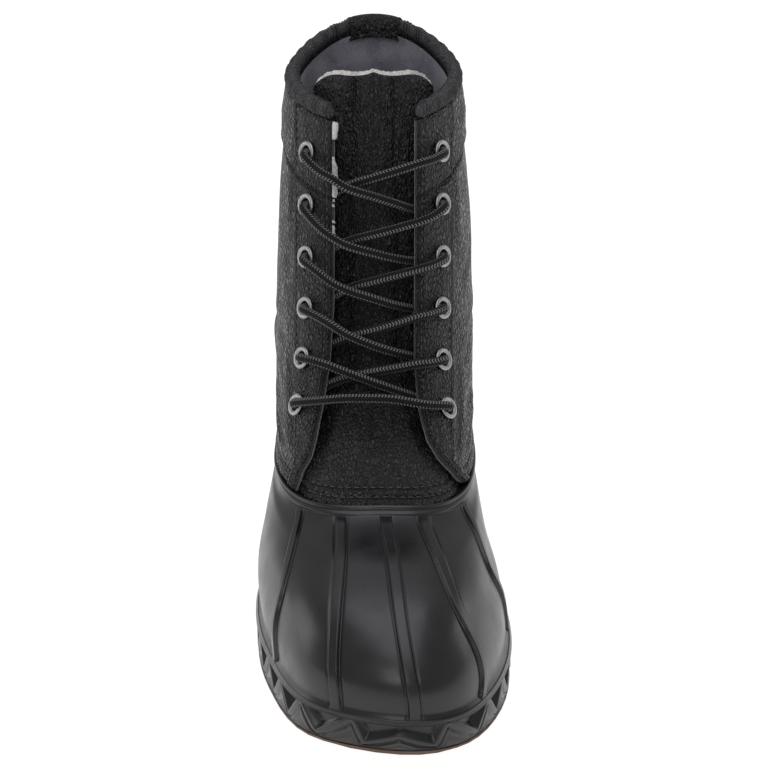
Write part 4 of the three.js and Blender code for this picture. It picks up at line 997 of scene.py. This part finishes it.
# %% Collar roll
ROLL_SIDES, GATHER, PLEAT, ROLL_PUFF = 18, 1.5, 0.2, 1.12
roll_top = len(quarter_rows) - 1
roll_columns = 900
_, roll_guide = quarter_place(np.arange(len(quarter_columns)), np.full(len(quarter_columns), roll_top))
unwound = np.where(roll_guide > 0, roll_guide - 360, roll_guide)
roll_bearing = np.linspace(unwound[0], unwound[-1], roll_columns + 1)
roll_base = np.interp((roll_bearing + 180) % 360 - 180, whole_turn, top_line)
roll_level = level_along(roll_base, roll_bearing, SEAT_GAP + ROLL_HEIGHT / 2)
roll_arc = np.append(0, np.cumsum(np.linalg.norm(np.diff(skin(roll_level, roll_bearing), axis=0), axis=1)))


def roll_form(column, row, depth):
    level, bearing = roll_level[column], roll_bearing[column]
    turned = (bearing + 180) % 360 - 180
    pad = np.clip((np.abs(turned) - 62) / 26, 0, 1)
    up = unit(skin(level + 0.02, bearing) - skin(level - 0.02, bearing))
    normal = skin_normal(level, bearing)
    middle = skin(level, bearing) + normal * (-QUARTER_WALL / 2 - pad * CUFF_PAD / 4)[:, None]
    angle = 2 * np.pi * row / ROLL_SIDES
    arc = roll_arc[column]
    pleat = np.sin(2 * np.pi * arc / GATHER + 1.4 * np.sin(arc * 0.31) + 1.1 * np.sin(angle))
    end = np.minimum(arc, roll_arc[-1] - arc)
    size = np.sqrt(np.clip(end / 3.2, 0.02, 1)) + PLEAT * pleat * (0.8 + 0.4 * np.sin(arc * 0.83))
    size = size + 0.03 * np.sin(arc * 0.17)
    return (middle + normal * (np.cos(angle) * size * ROLL_WIDTH / 2)[:, None]
            + up * (np.sin(angle) * size * ROLL_HEIGHT / 2 * ROLL_PUFF)[:, None])


roll = pattern(roll_columns, ROLL_SIDES)
lasted(roll, roll_form, merge=2e-6)
bmesh.ops.holes_fill(roll, edges=[edge for edge in roll.edges if edge.is_boundary], sides=0)
bmesh.ops.recalc_face_normals(roll, faces=roll.faces)
collar = piece(roll, "collar_roll_bound", [binding_leather], "black_leather", "collar_roll")

# %% Heel stay
STAY_WIDTH, STAY_WALL, STAY_INSIDE = 26, 0.9, 2
stay_columns = 26
heel = np.array([180.0])
heel_top = float(np.interp(180, whole_turn, top_line))


def heel_path():
    """Level and height over the skin of the strip's underside, from low outside to low inside."""
    found = []
    low = float(np.interp(180, whole_turn, bottom_line))
    seam = float(np.interp(180, whole_turn, cuff_line))
    start = low + (seam - low) * 0.05
    for level in np.linspace(start, seam, 74)[:-1]:
        found.append((level, 0.35))
    for share in np.linspace(0, 1, 22):
        puff = np.interp(share, [0, 0.07, 0.45, 1], [0.15, 0.6, 1, 0.5])
        found.append((seam + (heel_top - seam) * share, CUFF_PAD * puff + 0.3))
    for turn in np.linspace(0.2, np.pi - 0.2, 16):
        tall, wide = ROLL_HEIGHT / 2 + 0.5, ROLL_WIDTH / 2 + 0.5
        rise = SEAT_GAP + ROLL_HEIGHT / 2 + tall * np.sin(turn)
        level = float(level_along(np.array([heel_top]), heel, np.array([rise]))[0])
        found.append((level, -QUARTER_WALL / 2 - CUFF_PAD / 4 + wide * np.cos(turn)))
    for drop in np.linspace(0.5, STAY_INSIDE, 4):
        level = float(level_along(np.array([heel_top]), heel, np.array([-drop]))[0])
        found.append((level, -QUARTER_WALL - CUFF_PAD - 0.6))
    return np.array(found)


stay_path = heel_path()


def heel_form(column, row, depth):
    level, out = stay_path[row, 0], stay_path[row, 1]
    share = 2 * column / stay_columns - 1
    half = STAY_WIDTH / 2 + 0.5 * np.sin(row * 0.9) * (row > 96)
    turn = bearing_at_arc(level, np.full(len(row), 180.0), half * share)
    rounding = STAY_WALL * (1 - 0.7 * (1 - ease(1 - np.abs(share), 0, 0.08)))
    rounding = rounding + groove((1 - np.abs(share)) * half - 2.2, 0.4, 0.25)
    here = skin_out(level, turn, out)
    ahead = np.clip(row + 1, 0, len(stay_path) - 1)
    behind = np.clip(row - 1, 0, len(stay_path) - 1)
    along = unit(skin_out(stay_path[ahead, 0], turn, stay_path[ahead, 1])
                 - skin_out(stay_path[behind, 0], turn, stay_path[behind, 1]))
    round_it = unit(skin(level, turn + 0.5) - skin(level, turn - 0.5))
    face = unit(np.cross(round_it, along))
    return here + face * (rounding * (depth > -0.5))[:, None]


stay_mesh = thickened(pattern(stay_columns, len(stay_path) - 1))
lasted(stay_mesh, heel_form)
piece(stay_mesh, "heel_strip", [leather], "black_leather", "heel_stay")

# %% [markdown]
# ## Eyelets
# Each eyelet is a stamped ring with a rolled flange and a barrel through the wall. Its half
# section is drawn once as a chain of edges and spun round its axis.

# %% Spin the eyelets
EYELET_SECTION = [(2.8, -2.6), (3.3, -2.6), (3.3, 1.45), (4.2, 1.4), (4.85, 1.5), (5.05, 1.75),
                  (4.95, 2.15), (4.5, 2.5), (3.9, 2.62), (3.3, 2.45), (2.95, 2.1), (2.8, 1.6)]


def eyelet_mesh(level, bearing):
    ring = bmesh.new()
    corners = [ring.verts.new((x, 0, z)) for x, z in EYELET_SECTION]
    edges = [ring.edges.new((corners[i], corners[(i + 1) % len(corners)])) for i in range(len(corners))]
    bmesh.ops.spin(ring, geom=corners + edges, cent=(0, 0, 0), axis=(0, 0, 1), dvec=(0, 0, 0),
                   angle=2 * math.pi, steps=40, use_merge=True)
    bmesh.ops.remove_doubles(ring, verts=ring.verts, dist=1e-4)
    axis = Vector(skin_normal(level, bearing))
    place = Vector(skin(level, bearing))
    turn = axis.to_track_quat("Z", "Y").to_matrix().to_4x4()
    moved = Matrix.Scale(0.001, 4) @ Matrix.Translation(place) @ turn
    bmesh.ops.transform(ring, verts=ring.verts, matrix=moved)
    bmesh.ops.recalc_face_normals(ring, faces=ring.faces)
    return ring


for (side, number), (level, _, bearing) in eyelets.items():
    word = "lateral" if side < 0 else "medial"
    piece(eyelet_mesh(level, bearing), f"ring_{word}_{number + 1}", [nickel], "dark_nickel",
          f"eyelet_{word}_{number + 1}")

# %% [markdown]
# ## The lace
# One round braided lace runs through all twelve eyelets: a bar across the lowest pair, then up
# on both sides, each time out of an eyelet, over the edge of its quarter, across the tongue and
# up inside the other side. Its two ends go in through the top eyelets. The path is a list of
# places on the last, and a smooth curve through them carries the braid.

# %% Path of the lace
# Places across the throat, 1 at the edge a strand comes from and -1 at the other, and at each the
# height over the skin and, row by row from the top, the share of the pitch it has dropped.
STATIONS = {-1: [1.2, 0.9, 0.6, 0.05, -0.5, -1.08], 1: [1.25, 0.95, 0.6, 0.05, -0.5, -1.1]}
HEIGHTS = {-1: [4.8, 3.8, 2.4, -0.4, -2.9, -5.0], 1: [4.8, 3.5, 1.3, -0.9, -2.7, -4.9]}
DROPS = {
    -1: [(0.24, 0.32, 0.44, 0.55, 0.71, 0.92), (0.30, 0.44, 0.54, 0.64, 0.77, 0.92),
         (0.17, 0.31, 0.40, 0.52, 0.67, 0.83), (0.05, 0.15, 0.28, 0.45, 0.59, 0.75),
         (-0.05, -0.03, 0.04, 0.20, 0.35, 0.55)],
    1: [(0.03, 0.03, 0.07, 0.18, 0.34, 0.61), (0.12, 0.15, 0.18, 0.27, 0.40, 0.66),
        (0.05, 0.06, 0.09, 0.18, 0.32, 0.60), (0.0, -0.01, 0.04, 0.14, 0.27, 0.54),
        (-0.03, -0.07, -0.07, -0.03, 0.08, 0.38)]}
BAR = [(0.87, 0.15), (0.52, 0.2), (0.16, 0.21), (-0.31, 0.2), (-0.67, 0.16), (-1.02, 0.1)]


def spot_across(side, across, level):
    """Bearing of a place given as a share of the way to the throat's edge on a side."""
    return side * across * abs(float(edge_at(level, side if across > 0 else -side)))


def out_of_eyelet(side, number, level, bearing):
    """The lace's way out of an eyelet and over its rim towards a place."""
    start, _, middle = eyelets[side, number]
    gone = np.linalg.norm(skin(level, bearing) - skin(start, middle))
    return [(start + (level - start) * far / gone, middle + (bearing - middle) * far / gone, out)
            for far, out in ((0, 0.2), (0.8, 2.9), (2.6, 4.9))]


def strand(side, number):
    """Places from an eyelet down to the next one on the other side."""
    level, low = eyelets[side, number][0], eyelets[-side, number - 1][0]
    _, far_edge, far = eyelets[-side, number - 1]
    found = []
    for across, height, drop in zip(STATIONS[side], HEIGHTS[side], DROPS[side][EYELET_ROWS - 1 - number]):
        at = level + (low - level) * drop
        found.append((at, spot_across(side, across, at), height))
    back = (far_edge - far) / EYELET_INSET
    last = found[-1][0]
    return out_of_eyelet(side, number, *found[0][:2]) + found + [
        (low + (last - low) * 0.3, far + back * 5, -5.3), (low, far + back * 1.2, -4.6), (low, far, -1.8)]


def chain(side):
    """The lace from the top eyelet of a side down to one of the lowest."""
    found = []
    for number in range(EYELET_ROWS - 1, 0, -1):
        found += strand(side, number)
        side = -side
    return found, side


first, first_end = chain(-1)
second, second_end = chain(1)
level = eyelets[first_end, 0][0]
crossing_bar = [(level + rise, spot_across(-1, across, level + rise), 4.7) for across, rise in BAR]
if first_end > 0:
    crossing_bar.reverse()
bar = (out_of_eyelet(first_end, 0, *crossing_bar[0][:2]) + crossing_bar
       + out_of_eyelet(second_end, 0, *crossing_bar[-1][:2])[::-1])
ends = [[(eyelets[side, 5][0] - 0.02 * k, eyelets[side, 5][2] + side * turn, out)
         for k, turn, out in ((0, 0.4, -3.4), (2, 3.0, -5.6), (6, 6.5, -5.8), (11, 9.0, -5.8))]
        for side in (-1, 1)]
lace_places = np.array(ends[0][::-1] + first + bar + second[::-1] + ends[1])
lace_points = np.stack([skin_out(*place) for place in lace_places])
print("places on the lace:", len(lace_points))


# %% Sweep the lace
def smooth_path(points, spacing):
    """A centripetal curve through the points, resampled evenly."""
    padded = np.vstack([2 * points[0] - points[1], points, 2 * points[-1] - points[-2]])
    found = []
    for a, b, c, d in zip(padded, padded[1:], padded[2:], padded[3:]):
        t1 = np.linalg.norm(b - a) ** 0.5
        t2 = t1 + np.linalg.norm(c - b) ** 0.5
        t3 = t2 + np.linalg.norm(d - c) ** 0.5
        t = np.linspace(t1, t2, 24, endpoint=False)[:, None]
        ab, bc, cd = (a * (t1 - t) + b * t) / t1, (b * (t2 - t) + c * (t - t1)) / (t2 - t1), \
            (c * (t3 - t) + d * (t - t2)) / (t3 - t2)
        abc, bcd = (ab * (t2 - t) + bc * t) / t2, (bc * (t3 - t) + cd * (t - t1)) / (t3 - t1)
        found.append((abc * (t2 - t) + bcd * (t - t1)) / (t2 - t1))
    path = np.vstack(found + [points[-1:]])
    arc = np.append(0, np.cumsum(np.linalg.norm(np.diff(path, axis=0), axis=1)))
    even = np.arange(0, arc[-1], spacing)
    return np.stack([np.interp(even, arc, path[:, k]) for k in range(3)], axis=-1), arc[-1]


LACE_SIDES, LACE_STEP = 16, 0.55
lace_path, lace_length = smooth_path(lace_points, LACE_STEP)
tangents = unit(np.gradient(lace_path, axis=0))
across = [unit(np.cross(tangents[0], [0, 0, 1]))]
for tangent in tangents[1:]:
    turned = across[-1] - tangent * (across[-1] @ tangent)
    across.append(turned / np.linalg.norm(turned))
across = np.array(across)
upward = np.cross(tangents, across)


def lace_form(column, row, depth):
    angle = 2 * np.pi * row / LACE_SIDES
    along = column * LACE_STEP
    braid = np.sin(angle * 4 + along * 2 * np.pi / 3.0) * np.sin(angle * 4 - along * 2 * np.pi / 3.0)
    radius = LACE / 2 * (1 + 0.045 * braid)
    return (lace_path[column] + across[column] * (np.cos(angle) * radius)[:, None]
            + upward[column] * (np.sin(angle) * radius)[:, None])


lace_mesh = pattern(len(lace_path) - 1, LACE_SIDES)
weave = lace_mesh.loops.layers.uv.new("weave")
for face in lace_mesh.faces:
    for loop in face.loops:
        loop[weave].uv = (loop.vert.co.x * LACE_STEP, loop.vert.co.y / LACE_SIDES)
lasted(lace_mesh, lace_form, merge=1e-6)
bmesh.ops.holes_fill(lace_mesh, edges=[e for e in lace_mesh.edges if e.is_boundary], sides=0)
bmesh.ops.recalc_face_normals(lace_mesh, faces=lace_mesh.faces)
print("lace length:", round(lace_length), "mm")

# %% [markdown]
# The braid is a sixteen-strand round one: black, with pale marker yarns that make rows of small
# chevrons along it. The pattern reads the lace's own UV map: u is its length in millimetres and v
# goes once round, so the yarns stay on the lace however it turns.

# %% Braid of the lace
braided, shader = finish_of("braided_polyester_lace", Roughness=0.8, Sheen_Weight=0.08,
                             Specular_IOR_Level=0.25)
uv = add(braided, "UVMap", uv_map="weave")
parts = add(braided, "SeparateXYZ", {"Vector": uv.outputs["UV"]})
round_it = add(braided, "Math", {0: parts.outputs["Y"], 1: 6.0}, operation="MULTIPLY")
fold = add(braided, "Math", {0: round_it.outputs["Value"], 1: 1.0}, operation="PINGPONG")
slant = add(braided, "Math", {0: fold.outputs["Value"], 1: 1.1, 2: parts.outputs["X"]},
            operation="MULTIPLY_ADD")
yarn = add(braided, "Math", {0: slant.outputs["Value"], 1: 0.7}, operation="PINGPONG")
row_of = add(braided, "Math", {0: fold.outputs["Value"], 1: 0.5}, operation="GREATER_THAN")
light_yarn = add(braided, "Math", {0: yarn.outputs["Value"], 1: 0.42}, operation="GREATER_THAN")
marked = add(braided, "Math", {0: light_yarn.outputs["Value"], 1: row_of.outputs["Value"]},
             operation="MULTIPLY")
spot = add(braided, "TexCoord").outputs["Object"]
fuzz = add(braided, "TexNoise", {"Vector": spot, "Scale": PER_MM / 0.5, "Detail": 3.0})
tone = add(braided, "Math", {0: fuzz.outputs["Fac"], 1: 0.35, 2: marked.outputs["Value"]},
           operation="MULTIPLY_ADD")
join(braided, shades(braided, tone.outputs["Value"], (0.1, "#030303"), (0.35, "#080808"), (1.0, "#6c6c6c")),
     shader.inputs["Base Color"])
height = add(braided, "Math", {0: fuzz.outputs["Fac"], 1: 0.4, 2: yarn.outputs["Value"]},
             operation="MULTIPLY_ADD")
bump = add(braided, "Bump", {"Height": height.outputs["Value"], "Strength": 0.7, "Distance": 0.0004})
join(braided, bump.outputs["Normal"], shader.inputs["Normal"])
piece(lace_mesh, "round_lace", [braided], "lace_cord", "lace_bar",
      *(f"lace_crossing_{number}" for number in range(1, 6)))

# %% [markdown]
# ## Insole and stitching
# The insole is a felt-faced pad with a soft edge. Stitches are small beads of thread, one bead
# made for each stitch and set along each seam at the pitch of a heavy lockstitch, all joined in
# one mesh.

# %% Insole
INSOLE_INSET, INSOLE_LOW, INSOLE_WALL = CUP_WALL + SHELL_WALL + 0.6, 6.3, 4.5
insole_columns, insole_rows = 40, 90


def insole_form(column, row, depth):
    share = 2 * column / insole_columns - 1
    turn = 180 * row / insole_rows
    turn = np.clip(turn, 1.5, 178.5)
    right, left = sole_edge(turn, INSOLE_INSET + 0 * turn), sole_edge(-turn, INSOLE_INSET + 0 * turn)
    place = left + (right - left) * ((share + 1) / 2)[:, None]
    edge = ease(1 - np.abs(share), 0, 0.12) * ease(np.minimum(row, insole_rows - row), 0, 4)
    thick = INSOLE_WALL * np.where(depth > -0.5, 0.7 + 0.3 * edge, 0)
    return np.stack([place[:, 0], place[:, 1], INSOLE_LOW + toe_rise(place[:, 1]) + thick], axis=-1)


insole_mesh = lasted(thickened(pattern(insole_columns, insole_rows)), insole_form)
insole = piece(insole_mesh, "felt_insole", [felt], "grey_lining", "insole")

# %% Stitches
STITCH, STITCH_GAP, THREAD = 2.4, 1.2, 0.75
stitches = bmesh.new()


def stitch_row(places):
    """Beads of thread along places given as arrays of level, bearing and height over the skin."""
    path = np.stack([skin_out(level, bearing, out) for level, bearing, out in places])
    arc = np.append(0, np.cumsum(np.linalg.norm(np.diff(path, axis=0), axis=1)))
    starts = np.arange(1.0, arc[-1] - STITCH, STITCH + STITCH_GAP)
    for start in starts:
        a, b = (Vector([np.interp(s, arc, path[:, k]) for k in range(3)]) for s in (start, start + STITCH))
        made = bmesh.ops.create_uvsphere(stitches, u_segments=6, v_segments=4, radius=0.5)
        way = (b - a).to_track_quat("Z", "Y").to_matrix().to_4x4()
        shape = Matrix.Diagonal((THREAD, THREAD, (b - a).length, 1))
        bmesh.ops.transform(stitches, verts=made["verts"],
                            matrix=Matrix.Scale(0.001, 4) @ Matrix.Translation((a + b) / 2) @ way @ shape)
    return len(starts)


def level_at_height(bearing, height):
    return float(level_along(np.array([5.0]), np.array([bearing]), np.array([height]))[0])


count = 0
for height in QUARTER_SEAMS:
    for side in (-1, 1):
        seam = float(seam_at(5.2, side))
        turns = np.linspace(seam + side * 1.5, side * 180, 60)
        count += stitch_row([(level_at_height(t, LAYER_GAP + height), t, 0.05) for t in turns])
for side in (-1, 1):
    for inset in (2.2, -2.0):
        row_places = []
        for level in np.linspace(5.35, 9.72, 70):
            line = float(edge_at(level, side) if inset > 0 else seam_at(level, side))
            turn = float(bearing_at_arc(np.array([level]), line, np.array([side * inset]))[0])
            row_places.append((level, turn, OVERLAY - 0.05))
        count += stitch_row(row_places)
for height in VAMP_ROWS:
    level = VAMP_FOOT + height / VAMP_SPACING
    ends = [0.85 * float(edge_at(level, side)) for side in (-1, 1)]
    row_places = [(level, turn, float(np.interp(level, VAMP_LEVELS, VAMP_OUT)) - 0.05)
                  for turn in np.linspace(*ends, 50)]
    count += stitch_row(row_places)
piece(stitches, "seam_stitches", [thread], "black_leather")
print("stitches:", count)
